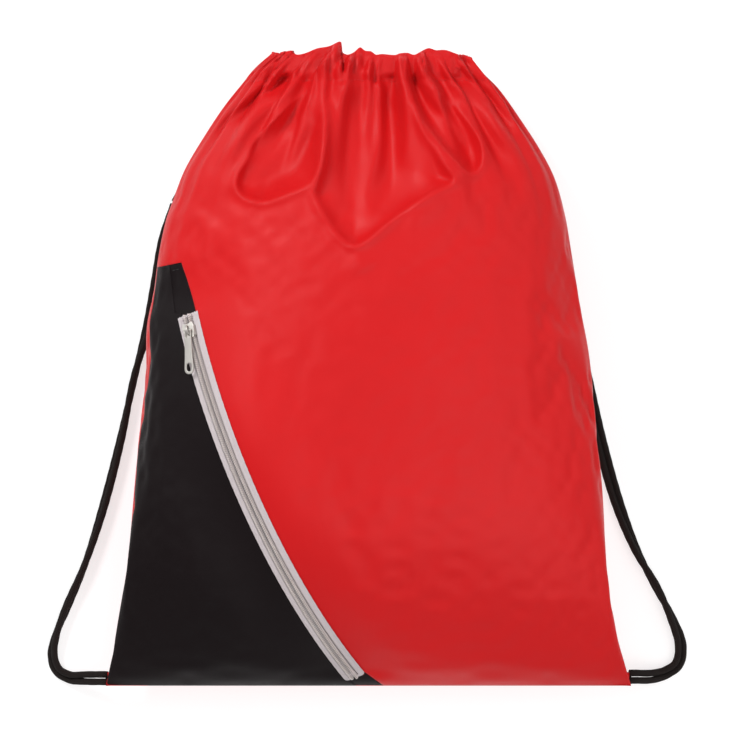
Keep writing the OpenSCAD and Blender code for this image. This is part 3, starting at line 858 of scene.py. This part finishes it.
# The rear panel comes to the front one's edges at the seams.
rear_columns = np.linspace(0, 1, rear.shape[1])[None, :, None]
rear = rear + ((front[:, :1] - rear[:, :1]) * (1 - smooth(rear_columns / 0.15))
               + (front[:, -1:] - rear[:, -1:]) * (1 - smooth((1 - rear_columns) / 0.15)))
rear = rear + (front[:1, ::2] - rear[:1]) * (1 - smooth(LENGTHS / 0.08))[..., None]
rear[..., 2] = np.maximum(rear[..., 2], LOWEST)
rear[:, 0], rear[:, -1], rear[0] = front[:, 0], front[:, -1], front[0, ::2]


# ---------------------------------------------------------------- panels cut from the cloth

CLOTH_T = 0.5 * MM
POCKET_TOP = 68.5 * MM      # the pocket's top edge is at this y at POCKET_TOP_X, and slopes up to the right
POCKET_TOP_X = -133 * MM
POCKET_TOP_SLOPE = 0.19
STRIP_FOLD = ((-133.5 * MM, 67 * MM), (-130 * MM, 37 * MM))     # of the facing strip above the zip
FOLD_END = 36 * MM          # the fold meets the zip's tape here
TOE = ((-0.8 * MM, -207.3 * MM), (10.5 * MM, -215.6 * MM))      # the facing's edge below the zip
RED_EDGE = 6.2 * MM         # the front panel's raw edge under the tape
POCKET_EDGE = -4.4 * MM     # the pocket's, beside the coil
FACING_EDGES = (-9 * MM, 6.8 * MM)
FACING_W = 15.8 * MM
FACING_LOW = 29 * MM        # the strip above the zip goes down to here
TOE_TOP = -205 * MM         # and the corner below it up to here
LINING_EDGE = 7.4 * MM
LINING_SAG = 18 * MM
LINING_DEPTH = 1.3 * MM     # under the outer cloth
SEAM_WRAP = table([(-216, 5), (-190, 10), (-165, 18), (-115, 31), (-48, 22), (21, 20), (66, 11)])
WRAP_COLUMN = 14            # the grid's column that follows this edge
SEAM_SHOWS = 66 * MM        # the rear panel wraps round to the front beside the pocket, up to here


def cloth_uv(shape):
    t, s = np.meshgrid(np.linspace(0, 1, shape[1]), np.linspace(0, 1, shape[0]))
    return flat_cut(t, s).reshape(-1, 2)


def warped(grid):
    """The grid and its uv, with columns moved so that one follows the edge of the wrapped strip."""
    last = grid.shape[1] - 1
    column = np.arange(last + 1)
    shares = np.linspace(0, 1, grid.shape[0])
    out, uv = np.empty_like(grid), np.empty((*grid.shape[:2], 2))
    for j, row in enumerate(grid):
        edge = SEAM_WRAP(row[0, 1]) / CUT_W * last
        place = np.where(column < WRAP_COLUMN, column * edge / WRAP_COLUMN,
                         edge + (column - WRAP_COLUMN) * (last - edge) / (last - WRAP_COLUMN))
        out[j] = np.stack([np.interp(place, column, row[:, k]) for k in range(3)], -1)
        uv[j] = flat_cut(place / last, np.full(place.shape, shares[j]))
    return out, uv.reshape(-1, 2)


def panel_mesh(name, grid, up, uv):
    """A mesh of the grid, with its cut's coordinates as uv."""
    faces = grid_faces(*grid.shape[:2])
    return make(name, grid.reshape(-1, 3), faces if up else [face[::-1] for face in faces], uv)


def split(piece, *lines):
    """Splits the faces along lines given as (point, normal), seen from above."""
    mesh = bmesh.new()
    mesh.from_mesh(piece.data)
    for point, normal in lines:
        bmesh.ops.bisect_plane(mesh, geom=mesh.verts[:] + mesh.edges[:] + mesh.faces[:], dist=1e-6,
                               plane_co=Vector(point), plane_no=Vector(normal))
    mesh.to_mesh(piece.data)
    mesh.free()


def under_top(x, y, below=0.0):
    """True below the pocket's sloping top edge."""
    return y < POCKET_TOP - below + POCKET_TOP_SLOPE * (x - POCKET_TOP_X)


def left_of(line, x, y):
    """True to the left of a line between two points."""
    (ax, ay), (bx, by) = line
    return x < ax + (bx - ax) * (y - ay) / (by - ay)


def in_wrap(y, u):
    """True where the rear panel wraps round to the front, beside the pocket."""
    return (y < SEAM_SHOWS) & (u < SEAM_WRAP(y) - CUT_W / 2)


def in_toe(x, y):
    """True in the corner below the zip, where the facing shows."""
    return (y < TOE[0][1]) & left_of(TOE, x, y)


def keep_where(piece, keep):
    """Removes the faces for which keep, given the faces' middles, across and uv, says False."""
    mesh = bmesh.new()
    mesh.from_mesh(piece.data)
    layer = mesh.loops.layers.uv["cloth"]
    middles = np.array([face.calc_center_median() for face in mesh.faces])
    uv = np.array([sum((loop[layer].uv for loop in face.loops), Vector((0, 0))) / len(face.loops)
                   for face in mesh.faces])
    _, across, _ = zip_place(middles)
    kept = keep(middles[:, 0], middles[:, 1], across, uv)
    bmesh.ops.delete(mesh, geom=[f for f, k in zip(mesh.faces[:], kept) if not k], context="FACES")
    mesh.to_mesh(piece.data)
    mesh.free()


def declare_sheet(piece):
    layer = piece.data.uv_layers["cloth"].data
    uv = np.zeros(len(layer) * 2)
    layer.foreach_get("uv", uv)


def at_across(distance):
    return ZIP_C + ZIP_AXIS * distance, ZIP_AXIS


def at_y(y):
    return (0, y, 0), (0, 1, 0)


def at_top(below=0.0):
    return (POCKET_TOP_X, POCKET_TOP - below, 0), Vector((-POCKET_TOP_SLOPE, 1, 0)).normalized()


def at_line(line):
    (ax, ay), (bx, by) = line
    return (ax, ay, 0), Vector((ay - by, bx - ax, 0)).normalized()


# The hem's rows: how far past the rim or down inside it, and the share of the way to the inner ply.
HEM_ROWS = ((-0.9, 0.06), (-1.1, 0.3), (-0.9, 0.6), (-0.2, 0.85), (2, 1), (8, 1), (14, 1), (20, 1))


def folded_hem(panel, side, across):
    """Rows of the hem's inner ply: folded in at the rim, over the cords, and down to its stitching."""
    rim = panel[-1]
    x = rim[:, 0]
    level = (44.2 if side > 0 else 23.8) * MM
    seam_level = (rim[0, 2] + rim[-1, 2]) / 2
    inner_z = seam_level + (level - seam_level) * from_sides(across, 0.3)
    return np.array([np.stack([x * (1 - 0.02 * share), rim[:, 1] - drop * MM,
                               rim[:, 2] + (inner_z - rim[:, 2]) * share], -1) for drop, share in HEM_ROWS])


def with_hem(name, panel, hem, up):
    """A panel mesh with its hem's rows joined on past the rim."""
    grid = np.concatenate([panel, hem])
    uv = cloth_uv(panel.shape).reshape(*panel.shape[:2], 2)
    steps = np.linalg.norm(np.diff(grid[-len(hem) - 1:], axis=0), axis=2).mean(1)
    more = np.stack([uv[-1] + [0, run] for run in np.cumsum(steps)])
    return panel_mesh(name, grid, up, np.concatenate([uv, more]).reshape(-1, 2))


front_panel = with_hem("front_panel_cloth", front, folded_hem(front, 1, front_across[-1]), True)
split(front_panel, at_across(RED_EDGE), at_top(), at_line(TOE))
keep_where(front_panel, lambda x, y, across, uv: ((across > RED_EDGE) & ~in_toe(x, y)) | ~under_top(x, y))
finish_piece(front_panel, "sack", RED, "red_cloth", "front_panel", "front_hem")

rear_panel = with_hem("rear_panel_cloth", rear, folded_hem(rear, -1, rear_across[-1]), False)
side_front, side_uv = warped(front)
wrap = panel_mesh("rear_panel_wrap", side_front, True, side_uv)
split(wrap, at_y(SEAM_SHOWS))
keep_where(wrap, lambda x, y, across, uv: in_wrap(y, uv[:, 0]))
mesh = bmesh.new()
for piece in (rear_panel, wrap):
    mesh.from_mesh(piece.data)
bmesh.ops.remove_doubles(mesh, verts=mesh.verts, dist=0.02 * MM)
mesh.to_mesh(rear_panel.data)
mesh.free()
bpy.data.objects.remove(wrap)
shade_smooth(rear_panel.data)
finish_piece(rear_panel, "sack", RED, "red_cloth", "rear_panel", "rear_hem")

pocket = panel_mesh("pocket_panel_cloth", side_front, True, side_uv)
split(pocket, at_across(POCKET_EDGE), at_line(STRIP_FOLD), at_top(), at_y(FOLD_END), at_y(SEAM_SHOWS))
keep_where(pocket, lambda x, y, across, uv: under_top(x, y) & ~in_wrap(y, uv[:, 0])
           & np.where(y < FOLD_END, across < POCKET_EDGE, left_of(STRIP_FOLD, x, y)))
finish_piece(pocket, "sack", BLACK, "black_cloth", "pocket_panel")

below = front - [0, 0, 0.45 * MM]
strip = panel_mesh("zip_facing_top", below, True, cloth_uv(below.shape))
split(strip, *(at_across(edge) for edge in FACING_EDGES), at_y(FACING_LOW), at_top())
keep_where(strip, lambda x, y, across, uv: (y > FACING_LOW) & under_top(x, y)
           & (across > FACING_EDGES[0]) & (across < FACING_EDGES[1]))
finish_piece(strip, "sack", BLACK, "black_cloth", "zip_facing")
corner = panel_mesh("zip_facing_bottom", below, True, cloth_uv(below.shape))
split(corner, *(at_across(edge) for edge in TAPE_EDGES), at_y(TOE_TOP), at_line(TOE))
keep_where(corner, lambda x, y, across, uv: (y < TOE_TOP) & (across > TAPE_EDGES[0])
           & ((across < TAPE_EDGES[1]) | in_toe(x, y)))
finish_piece(corner, "sack", BLACK, "black_cloth", "zip_facing")

# The lining hangs inside the pocket's cloth, and less near the seams and the zip.
_, lateral, _ = zip_place(front)
sag = LINING_SAG * smooth(np.minimum(front_across / 0.12, (64 * MM - front[..., 1]) / (40 * MM)).clip(0, 1))
sag = sag * smooth((TAPE_EDGES[1] - lateral) / (30 * MM)) * smooth((front[..., 1] + 215 * MM) / (40 * MM))
sag = sag + 1.4 * MM
outward = unit(np.cross(np.gradient(front, axis=1), np.gradient(front, axis=0)))
lining = (front - sag[..., None] * [0, 0, 1] - LINING_DEPTH * outward)[::2, ::2]
lining_piece = panel_mesh("pocket_lining_cloth", lining, True, cloth_uv(lining.shape))
split(lining_piece, at_across(LINING_EDGE), at_top(1 * MM))
keep_where(lining_piece, lambda x, y, across, uv: under_top(x, y, 1 * MM) & (across < LINING_EDGE)
           & (y > -212 * MM) & (uv[:, 0] > 6 * MM - CUT_W / 2) & ~in_wrap(y, uv[:, 0] - 3 * MM))
finish_piece(lining_piece, "sack", BLACK, "black_cloth", "pocket_lining")

# The facing's two parts are cut to their own places; the length of each is worked out from its area and width.
for piece, width in ((strip, FACING_W), (corner, TAPE_EDGES[1] - TAPE_EDGES[0])):
    length = sum(face.area for face in piece.data.polygons) / width
for piece in (front_panel, rear_panel, pocket, lining_piece):
    declare_sheet(piece)
for piece in (front_panel, rear_panel, pocket, strip, corner, lining_piece):
    thicken(piece, CLOTH_T)


# ---------------------------------------------------------------- seams and stitches

SEAM_T = 1 * MM             # two plies, turned in
SIDE_ROWS = slice(6, 212)   # rows of the front that the side seams' allowances follow


def ribbon(name, first, second, node):
    """A seam allowance: a strip of the red cloth between two lines of points."""
    run = distances(first)
    wide = np.linalg.norm(second - first, axis=1)
    uv = np.stack([np.stack([0 * run, run], -1), np.stack([wide, run], -1)], 1).reshape(-1, 2)
    piece = make(name, np.stack([first, second], 1).reshape(-1, 3), grid_faces(len(first), 2), uv)
    finish_piece(piece, "sack", RED, "red_cloth", node)
    thicken(piece, SEAM_T, 0)


for label, column, inward in (("left", 0, 1), ("right", -1, -1)):
    line = front[SIDE_ROWS, column]
    ribbon(f"side_seam_{label}_allowance", line + [inward * 1.2 * MM, 0, 0],
           line + np.array([inward * 8 * MM, 0, -0.5 * MM]), f"side_seam_{label}")
bottom = front[0, 8:-8]
ribbon("bottom_seam_allowance", bottom + [0, 1.5 * MM, 0], bottom + [0, 9 * MM, 0], "bottom_seam")

surface = BVHTree.FromPolygons([tuple(v) for v in front.reshape(-1, 3)], grid_faces(*front.shape[:2]))


def onto_front(x, y):
    hit, normal, _, _ = surface.ray_cast(Vector((x, y, 1)), Vector((0, 0, -1)))
    return (np.array(hit), np.array(normal)) if hit else (None, None)


def add_stitch(verts, faces, start, end, lift, radius):
    """One stitch: a thin rounded bar between two points, lifted in the middle."""
    rings, sides = 5, 6
    along = end - start
    side = unit(np.cross(unit(along), lift))
    first = len(verts)
    for k in range(rings):
        u = k / (rings - 1)
        r = radius * math.sqrt(max(0.12, 1 - (2 * u - 1) ** 4))
        centre = start + along * u + lift * (radius * 0.9 * math.sin(math.pi * u) - radius * 0.3)
        for m in range(sides):
            a = 2 * math.pi * m / sides
            verts.append(centre + r * (math.cos(a) * side + math.sin(a) * lift))
    for k in range(rings - 1):
        for m in range(sides):
            n = (m + 1) % sides
            faces.append((first + k * sides + m, first + k * sides + n,
                          first + (k + 1) * sides + n, first + (k + 1) * sides + m))
    faces.append(tuple(first + m for m in reversed(range(sides))))
    faces.append(tuple(first + (rings - 1) * sides + m for m in range(sides)))


def stitches(name, verts, faces):
    return make(name, verts, faces, np.zeros((len(verts), 2)))


def stitch_line(name, points, normals, material, radius=0.22 * MM, length=2.3 * MM, gap=0.7 * MM, nodes=()):
    """Stitches one after another along a line of points with normals."""
    points, normals = np.array(points), np.array(normals)
    along = distances(points)
    verts, faces = [], []

    def at(distance, values):
        return np.array([np.interp(distance, along, values[:, k]) for k in range(3)])

    for number in range(int(along[-1] // (length + gap))):
        start = number * (length + gap)
        lift = unit(at(start + length / 2, normals))
        add_stitch(verts, faces, at(start, points), at(start + length, points), lift, radius)
    finish_piece(stitches(name, verts, faces), "sack", material, "thread", *nodes)


def surface_line(points):
    """Points and normals on the front where a line seen from above falls, in millimetres."""
    places, normals = [], []
    for x, y in refine(np.array(points, float) * MM, 10):
        place, normal = onto_front(x, y)
        if place is not None:
            places.append(place + normal * 0.05 * MM)
            normals.append(normal)
    return places, normals


def hem_stitches(name, panel, columns, normal):
    line = [panel[int(np.argmin(np.abs(panel[:, i, 1] - HEM_STITCH_Y))), i] for i in columns]
    stitch_line(name, line, [normal] * len(line), THREAD_RED)


hem_stitches("front_hem_stitching", front, range(14, 187, 2), (0, 0, 1))
hem_stitches("rear_hem_stitching", rear, range(8, 93), (0, 0, -1))
stitch_line("facing_stitching", *surface_line([(-131.5, 64.5), (-128, 65.2), (-124.5, 65.9)]), THREAD_BLACK)


# ---------------------------------------------------------------- the zip

def tape(name, low, high, node):
    """Half of the zip's tape, with a bead by the chain and woven ribs along it."""
    angles = np.linspace(0, ZIP_SWEEP, 260)
    steps = 26
    across = np.linspace(low, high, steps)
    share = (across - low) / (high - low)
    inner = 1 - share if low > 0 else share
    ribs = 0.05 * MM * np.cos(2 * math.pi * across / (1.45 * MM)) + 0.22 * MM * bell(1 - inner, 0.12)
    rim = np.minimum(1, np.minimum(share, 1 - share) / 0.07) ** 0.5
    frays = 0.12 * MM * np.sin(angles * 410) * np.sin(angles * 173 + 1)
    cut_top = 0.55 * MM * np.abs(np.sin(math.pi * across / (1.9 * MM)))
    cut_end = 1.8 * MM * np.abs(2 * share - 1) ** 3
    rows = []
    outline = [(across[k], 1, k) for k in range(steps)] + [(across[k], -1, k) for k in reversed(range(steps))]
    for angle, fray in zip(angles, frays):
        along = angle / ZIP_SWEEP
        row = []
        for place, face, k in outline:
            outer = abs(place) == max(abs(low), abs(high))
            height = face * TAPE_T / 2 * rim[k] + (ribs[k] if face > 0 else 0)
            at = cut_top[k] / ZIP_R * (1 - along) + along * (ZIP_END - cut_end[k] / ZIP_R)
            row.append(zip_point(at, place + (fray * np.sign(place) if outer else 0), height))
        rows.append(row)
    grid = np.array(rows)
    uv = [[(place, a * ZIP_R) for place, _, _ in outline] for a in angles]
    faces = grid_faces(len(angles), len(outline), closed=True)
    last = (len(angles) - 1) * len(outline)
    for first in (0, last):
        for k in range(steps - 1):
            quad = (first + k, first + k + 1, first + 2 * steps - 2 - k, first + 2 * steps - 1 - k)
            faces.append(quad if first else quad[::-1])
    piece = make(name, grid.reshape(-1, 3), faces, np.array(uv).reshape(-1, 2))
    finish_piece(piece, "sack", TAPE, "zip_tape", node)


tape("zip_tape_left_weave", TAPE_EDGES[0], -SLIT, "zip_tape_left")
tape("zip_tape_right_weave", SLIT, TAPE_EDGES[1], "zip_tape_right")

COIL_PITCH = 1.4 * MM
COIL_R = 1.2 * MM
COIL_WIRE = 0.37 * MM
COIL_CORE = 0.42 * MM
COIL_SIDE = 1.66 * MM
COIL_HEIGHT = TAPE_T / 2 + COIL_R + 0.05 * MM
COIL_SEAM = 3.3 * MM        # from the chain's middle to the dotted stitches beside it
TAPE_SEAMS = {"left": -5.9 * MM, "right": 6.0 * MM}


def coil(label, side):
    """One half of the chain: a nylon coil whose heads reach into the other half's."""
    turns = int(ZIP_END * ZIP_R / COIL_PITCH)
    per_turn = 14
    turn = np.arange(turns * per_turn + 1) * 2 * math.pi / per_turn + (math.pi if side > 0 else 0)
    angle = np.linspace(0.002, ZIP_END - 0.003, len(turn))
    across = side * (COIL_SIDE + np.cos(turn) * (COIL_R - COIL_WIRE))
    height = COIL_HEIGHT + (COIL_R - COIL_WIRE) * np.sin(turn)
    piece = tube(f"zip_coil_{label}_turns", zip_point(angle, across, height), COIL_WIRE, 6)
    finish_piece(piece, "sack", COIL, "zip_coil", f"zip_coil_{label}")


def zip_line(start, end, count, across, height):
    """Points and outward normals along the zip, between two angles."""
    angles = np.linspace(start, end, count)
    return zip_point(angles, np.full(count, across), np.full(count, height)), zip_frame(angles)[0]


def coil_core(label, side):
    """The filler cord inside a coil, which shows between its turns; its dark colour is painted shade in the
    gaps between the turns.
    """
    path, _ = zip_line(0.003, ZIP_END - 0.005, 400, side * COIL_SIDE, COIL_HEIGHT)
    piece = tube(f"zip_coil_{label}_core", path, COIL_CORE, 8)
    finish_piece(piece, "sack", TAUPE_CORE_SHADE, "thread", f"zip_coil_{label}")


coil("left", -1)
coil("right", 1)
for label, across in TAPE_SEAMS.items():
    stitch_line(f"zip_tape_{label}_stitching",
                *zip_line(0.012, ZIP_SWEEP - 0.012, 200, across, TAPE_T / 2 + 0.1 * MM),
                THREAD_PALE, 0.2 * MM, 2.2 * MM, 0.7 * MM, ("zip_stitching",))
for label, side in (("left", -1), ("right", 1)):
    coil_core(label, side)
    stitch_line(f"zip_coil_{label}_stitching",
                *zip_line(0.006, ZIP_END - 0.008, 240, side * COIL_SEAM, TAPE_T / 2 + 0.15 * MM),
                THREAD_BROWN, 0.42 * MM, 0.62 * MM, 0.68 * MM, ("zip_stitching",))


def bar_tack(name, angle):
    """Close stitches across the tape's end, over the coils."""
    verts, faces = [], []
    out, along = zip_frame(angle)
    for k in range(15):
        across = (-6.6 + k * 0.95) * MM
        over_coil = 2 * COIL_R * math.sqrt(1 - (across / (3.2 * MM)) ** 2) if abs(across) < 3 * MM else 0
        at = zip_point(angle, across, TAPE_T / 2 + 0.15 * MM + over_coil)
        reach = along * 1.1 * MM
        add_stitch(verts, faces, at - reach, at + reach + ZIP_AXIS * 0.5 * MM, out, 0.26 * MM)
    finish_piece(stitches(name, verts, faces), "sack", THREAD_PALE, "thread", "zip_bar_tacks")


bar_tack("zip_top_bar_tack", math.radians(0.55))
bar_tack("zip_bottom_bar_tack", ZIP_SWEEP - math.radians(0.55))


# ---------------------------------------------------------------- slider and pull tab

SLIDER_AT = math.radians(3.013)
SLIDER_L = 11 * MM
SLIDER_W = 8.4 * MM
PLATE_LOW = 3.1 * MM
PLATE_T = 1.1 * MM
PLATE_TOP = PLATE_LOW + PLATE_T
PIVOT_UP = 5.7 * MM


def basis(right, forward, up, origin):
    matrix = Matrix(np.stack([right, forward, up], 1).tolist()).to_4x4()
    matrix.translation = Vector(origin)
    return matrix


slider_out, slider_along = zip_frame(SLIDER_AT)
slider_basis = basis(ZIP_AXIS, slider_along, slider_out, ZIP_C + ZIP_R * slider_out)


def bevelled(mesh, width):
    sharp = [e for e in mesh.edges if len(e.link_faces) == 2 and e.calc_face_angle() > math.radians(35)]
    bmesh.ops.bevel(mesh, geom=sharp, offset=width, segments=3, profile=0.6, affect="EDGES", clamp_overlap=True)


def prism(mesh, outline, low, high, holes=()):
    """Adds an upright prism of an outline in x and y, with outlines cut through it."""
    edges = []
    for loop in (outline, *holes):
        ring = [mesh.verts.new((x, y, low)) for x, y in loop]
        edges += [mesh.edges.new((a, b)) for a, b in zip(ring, ring[1:] + ring[:1])]
    made = bmesh.ops.triangle_fill(mesh, edges=edges, use_beauty=True, use_dissolve=False)
    faces = [g for g in made["geom"] if isinstance(g, bmesh.types.BMFace)]
    grown = bmesh.ops.extrude_face_region(mesh, geom=faces, use_keep_orig=True)
    moved = [g for g in grown["geom"] if isinstance(g, bmesh.types.BMVert)]
    bmesh.ops.translate(mesh, verts=moved, vec=(0, 0, high - low))


def metal_piece(name, build, frame_of, body, bevel, node):
    """A metal piece made by build in its own frame, with rounded edges, then put in place."""
    mesh = bmesh.new()
    build(mesh)
    bmesh.ops.recalc_face_normals(mesh, faces=mesh.faces)
    bevelled(mesh, bevel)
    data = bpy.data.meshes.new(name)
    mesh.to_mesh(data)
    mesh.free()
    data.transform(frame_of)
    piece = bpy.data.objects.new(name, data)
    scene.collection.objects.link(piece)
    shade_smooth(data)
    piece.modifiers.new("edges", "WEIGHTED_NORMAL").keep_sharp = False
    finish_piece(piece, body, METAL, "zip_metal", node)


def rounded_outline(points, radius, steps=5):
    """A closed outline with each corner rounded by its radius."""
    out = []
    count = len(points)
    for k, corner in enumerate(points):
        here = np.array(corner, float)
        before = unit(np.array(points[k - 1]) - here)
        after = unit(np.array(points[(k + 1) % count]) - here)
        for step in range(steps + 1):
            u = step / steps
            out.append(tuple(here + before * radius * (1 - u) ** 2 + after * radius * u**2))
    return out


def plate_outline(scale=1.0):
    """A slider plate: two shoulders where the tapes part, and a narrower, rounded foot."""
    w, l = SLIDER_W / 2 * scale, SLIDER_L / 2 * scale
    half = [(0.5 * w, l), (0.72 * w, 0.8 * l), (0.93 * w, 0.15 * l), (w, -0.5 * l), (0.9 * w, -0.92 * l),
            (0.55 * w, -l)]
    return rounded_outline([(-x, y) for x, y in reversed(half)] + half + [(0, -0.8 * l)], 0.7 * MM)


def slider_body(mesh):
    prism(mesh, plate_outline(), PLATE_LOW, PLATE_TOP)
    prism(mesh, plate_outline(0.9), -1.85 * MM, -0.75 * MM)
    for side in (-1, 1):
        low, high = sorted((side * (SLIDER_W / 2 - 0.9 * MM), side * SLIDER_W / 2))
        wall = rounded_outline([(low, -0.62 * SLIDER_L / 2), (high, -0.62 * SLIDER_L / 2),
                                (high * 0.9, 0.7 * SLIDER_L / 2), (low * 0.9, 0.7 * SLIDER_L / 2)], 0.2 * MM)
        prism(mesh, wall, 0.66 * MM, PLATE_LOW + 0.1 * MM)
    near, far = -SLIDER_L / 2, -SLIDER_L / 2 + 1.0 * MM
    wedge = [(-0.25 * MM, near), (0.25 * MM, near), (0.25 * MM, far), (-0.25 * MM, far)]
    prism(mesh, rounded_outline(wedge, 0.1 * MM, 2), -1.0 * MM, PLATE_LOW + 0.1 * MM)


def joined(mesh, rings):
    """Faces between rings of points, and over both ends."""
    count = len(rings[0])
    for a, b in zip(rings, rings[1:]):
        for k in range(count):
            mesh.faces.new((a[k], a[(k + 1) % count], b[(k + 1) % count], b[k]))
    mesh.faces.new(rings[0])
    mesh.faces.new(rings[-1][::-1])


def slider_bridge(mesh):
    """The arch that holds the pull tab's bar, swept along the slider."""
    top = PLATE_TOP / MM
    path = [(-3.2, top - 0.6), (-3.2, top + 1.4), (-2.5, top + 2.7), (-1.0, top + 3.25), (0.8, top + 3.25),
            (2.5, top + 2.5), (3.2, top + 1.0), (3.4, top - 0.6)]
    line = refine(np.array(path) * MM, 4)
    tangent = unit(np.gradient(line, axis=0))
    normal = np.stack([-tangent[:, 1], tangent[:, 0]], -1)
    half, wide = 0.35 * MM, 0.75 * MM
    section = ((-wide, -half), (wide, -half), (wide, half), (-wide, half))
    joined(mesh, [[mesh.verts.new((x, y + n * ny, z + n * nz)) for x, n in section]
                  for (y, z), (ny, nz) in zip(line, normal)])


metal_piece("zip_slider_body", slider_body, slider_basis, "slider", 0.28 * MM, "zip_slider")
metal_piece("zip_slider_bridge", slider_bridge, slider_basis, "slider", 0.18 * MM, "zip_slider")

PULL_L = 30 * MM
PULL_T = 1.0 * MM
PULL_SWING = math.radians(14)
PULL_DROOP = math.radians(5)
PULL_W = 2.8 * MM
PULL_TIP_R = 3.3 * MM
swung = math.cos(PULL_SWING) * slider_along - math.sin(PULL_SWING) * ZIP_AXIS
pull_along = math.cos(PULL_DROOP) * swung - math.sin(PULL_DROOP) * slider_out
pull_up = math.cos(PULL_DROOP) * slider_out + math.sin(PULL_DROOP) * swung
pull_basis = basis(np.cross(pull_along, pull_up), pull_along, pull_up, ZIP_C + (ZIP_R + PIVOT_UP) * slider_out)


def arc(x, y, radius, start, end, steps):
    turns = np.radians(np.linspace(start, end, steps))
    return [(x + radius * math.cos(a), y + radius * math.sin(a)) for a in turns]


def pull_plate(mesh):
    """A long tab that widens to a round end with an oval eye, and has a slot for its bar."""
    tip = PULL_L - PULL_TIP_R
    right = [(PULL_W * 0.86, -0.6 * MM), (PULL_W * 0.9, 5 * MM), (PULL_W * 0.93, 12 * MM), (PULL_W, 18 * MM),
             (PULL_TIP_R, 25 * MM)]
    outline = right + arc(0, tip, PULL_TIP_R, 0, 180, 17) + [(-x, y) for x, y in reversed(right)]
    half, low, high = 1.5 * MM, 0.8 * MM, 5.4 * MM
    slot = rounded_outline([(-half, low), (half, low), (half, high), (-half, high)], 0.8 * MM)
    eye = arc(0, tip - 0.3 * MM, 1.75 * MM, 0, 180, 11) + arc(0, tip - 2.6 * MM, 1.75 * MM, 180, 360, 11)
    prism(mesh, outline, -PULL_T / 2, PULL_T / 2, (slot, eye))


def pull_bar(mesh):
    """The round bar that turns under the slider's bridge."""
    radius, turns = 0.7 * MM, [2 * math.pi * k / 20 for k in range(20)]
    joined(mesh, [[mesh.verts.new((x, radius * math.cos(a), radius * math.sin(a))) for a in turns]
                  for x in (-PULL_W, PULL_W)])


metal_piece("zip_pull_plate", pull_plate, pull_basis, "pull_tab", 0.25 * MM, "zip_pull")
metal_piece("zip_pull_bar", pull_bar, pull_basis, "pull_tab", 0.12 * MM, "zip_pull")


# ---------------------------------------------------------------- corner tabs

WEBBING_T = 0.8 * MM


def corner_tab(label, side):
    """Webbing folded round the strap's end and sewn under the corner, with its two rows of stitches."""
    low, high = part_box(f"corner_tab_{label}")
    middle = (low + high) / 2
    reach = (high.x - low.x) / 2 - 0.5 * MM
    gap = (high.z - low.z) / 2 - 0.55 * MM
    # Seen from the side: along the top, round the fold, and back underneath.
    over = [(-side * reach, gap)] + [(side * u * reach, gap * (1 + 0.06 * u)) for u in (-0.5, 0, 0.45)]
    fold = [(side * (0.62 + 0.38 * math.sin(a)) * reach, gap * math.cos(a))
            for a in np.linspace(0.35, math.pi - 0.35, 7)]
    line = refine(np.array(over + fold + [(x, -z) for x, z in reversed(over)]), 4)
    wide = np.linspace(low.y, high.y, 15)
    ribs = 0.07 * MM * np.cos(np.arange(15) * math.pi)
    tangent = unit(np.gradient(line, axis=0))
    normal = np.stack([-tangent[:, 1], tangent[:, 0]], -1)
    grid = np.array([[(middle.x + p[0] + n[0] * r, y, middle.z + p[1] + n[1] * r) for y, r in zip(wide, ribs)]
                     for p, n in zip(line, normal)])
    uv = np.stack(np.meshgrid(wide - low.y, distances(line)), -1).reshape(-1, 2)
    piece = make(f"corner_tab_{label}_webbing", grid.reshape(-1, 3), grid_faces(*grid.shape[:2]), uv)
    finish_piece(piece, "sack", BLACK, "black_cloth", f"corner_tab_{label}")
    thicken(piece, WEBBING_T, 0)
    verts, faces = [], []
    for face in (1, -1):
        z = middle.z + face * (gap + 0.5 * MM)
        lift = np.array([0, 0, face * 1.0])
        for x in (-0.55 * side * reach, -0.15 * side * reach):
            for k in range(3):
                start = np.array([middle.x + x, low.y + (1.0 + 2.2 * k) * MM, z])
                add_stitch(verts, faces, start, start + [0, 1.7 * MM, 0], lift, 0.2 * MM)
    finish_piece(stitches(f"corner_tab_{label}_stitching", verts, faces), "sack", THREAD_BLACK, "thread")


corner_tab("left", -1)
corner_tab("right", 1)


# ---------------------------------------------------------------- floor, light and the end

def floor():
    size, cells = 3.0, 8
    line = np.linspace(-size, size, cells + 1)
    grid = np.stack(np.meshgrid(line, line), -1)
    grid = np.concatenate([grid, np.full((*grid.shape[:2], 1), -0.05 * MM)], -1)
    piece = make("floor", grid.reshape(-1, 3), grid_faces(cells + 1, cells + 1))
    piece.data.materials.append(plain_floor())


def soft_light(name, place, target, size, power):
    light = bpy.data.lights.new(name, "AREA")
    light.size = size
    light.energy = power
    piece = bpy.data.objects.new(name, light)
    piece.location = place
    piece.rotation_euler = (Vector(target) - Vector(place)).to_track_quat("-Z", "Y").to_euler()
    scene.collection.objects.link(piece)


floor()
soft_light("key", (-1.2, 1.4, 1.6), (0, 0, 0.05), 0.6, 38)
soft_light("fill", (0.9, -0.9, 2.3), (0, -0.05, 0.05), 1.6, 24)
soft_light("side", (1.5, 0.9, 2.0), (0, 0, 0), 1.5, 10)
scene.world = bpy.data.worlds.new("white_room")
scene.world.use_nodes = True
constants(scene.world.node_tree.nodes["Background"], Color=(1, 1, 1, 1), Strength=0.45)
scene.view_settings.view_transform = "Standard"
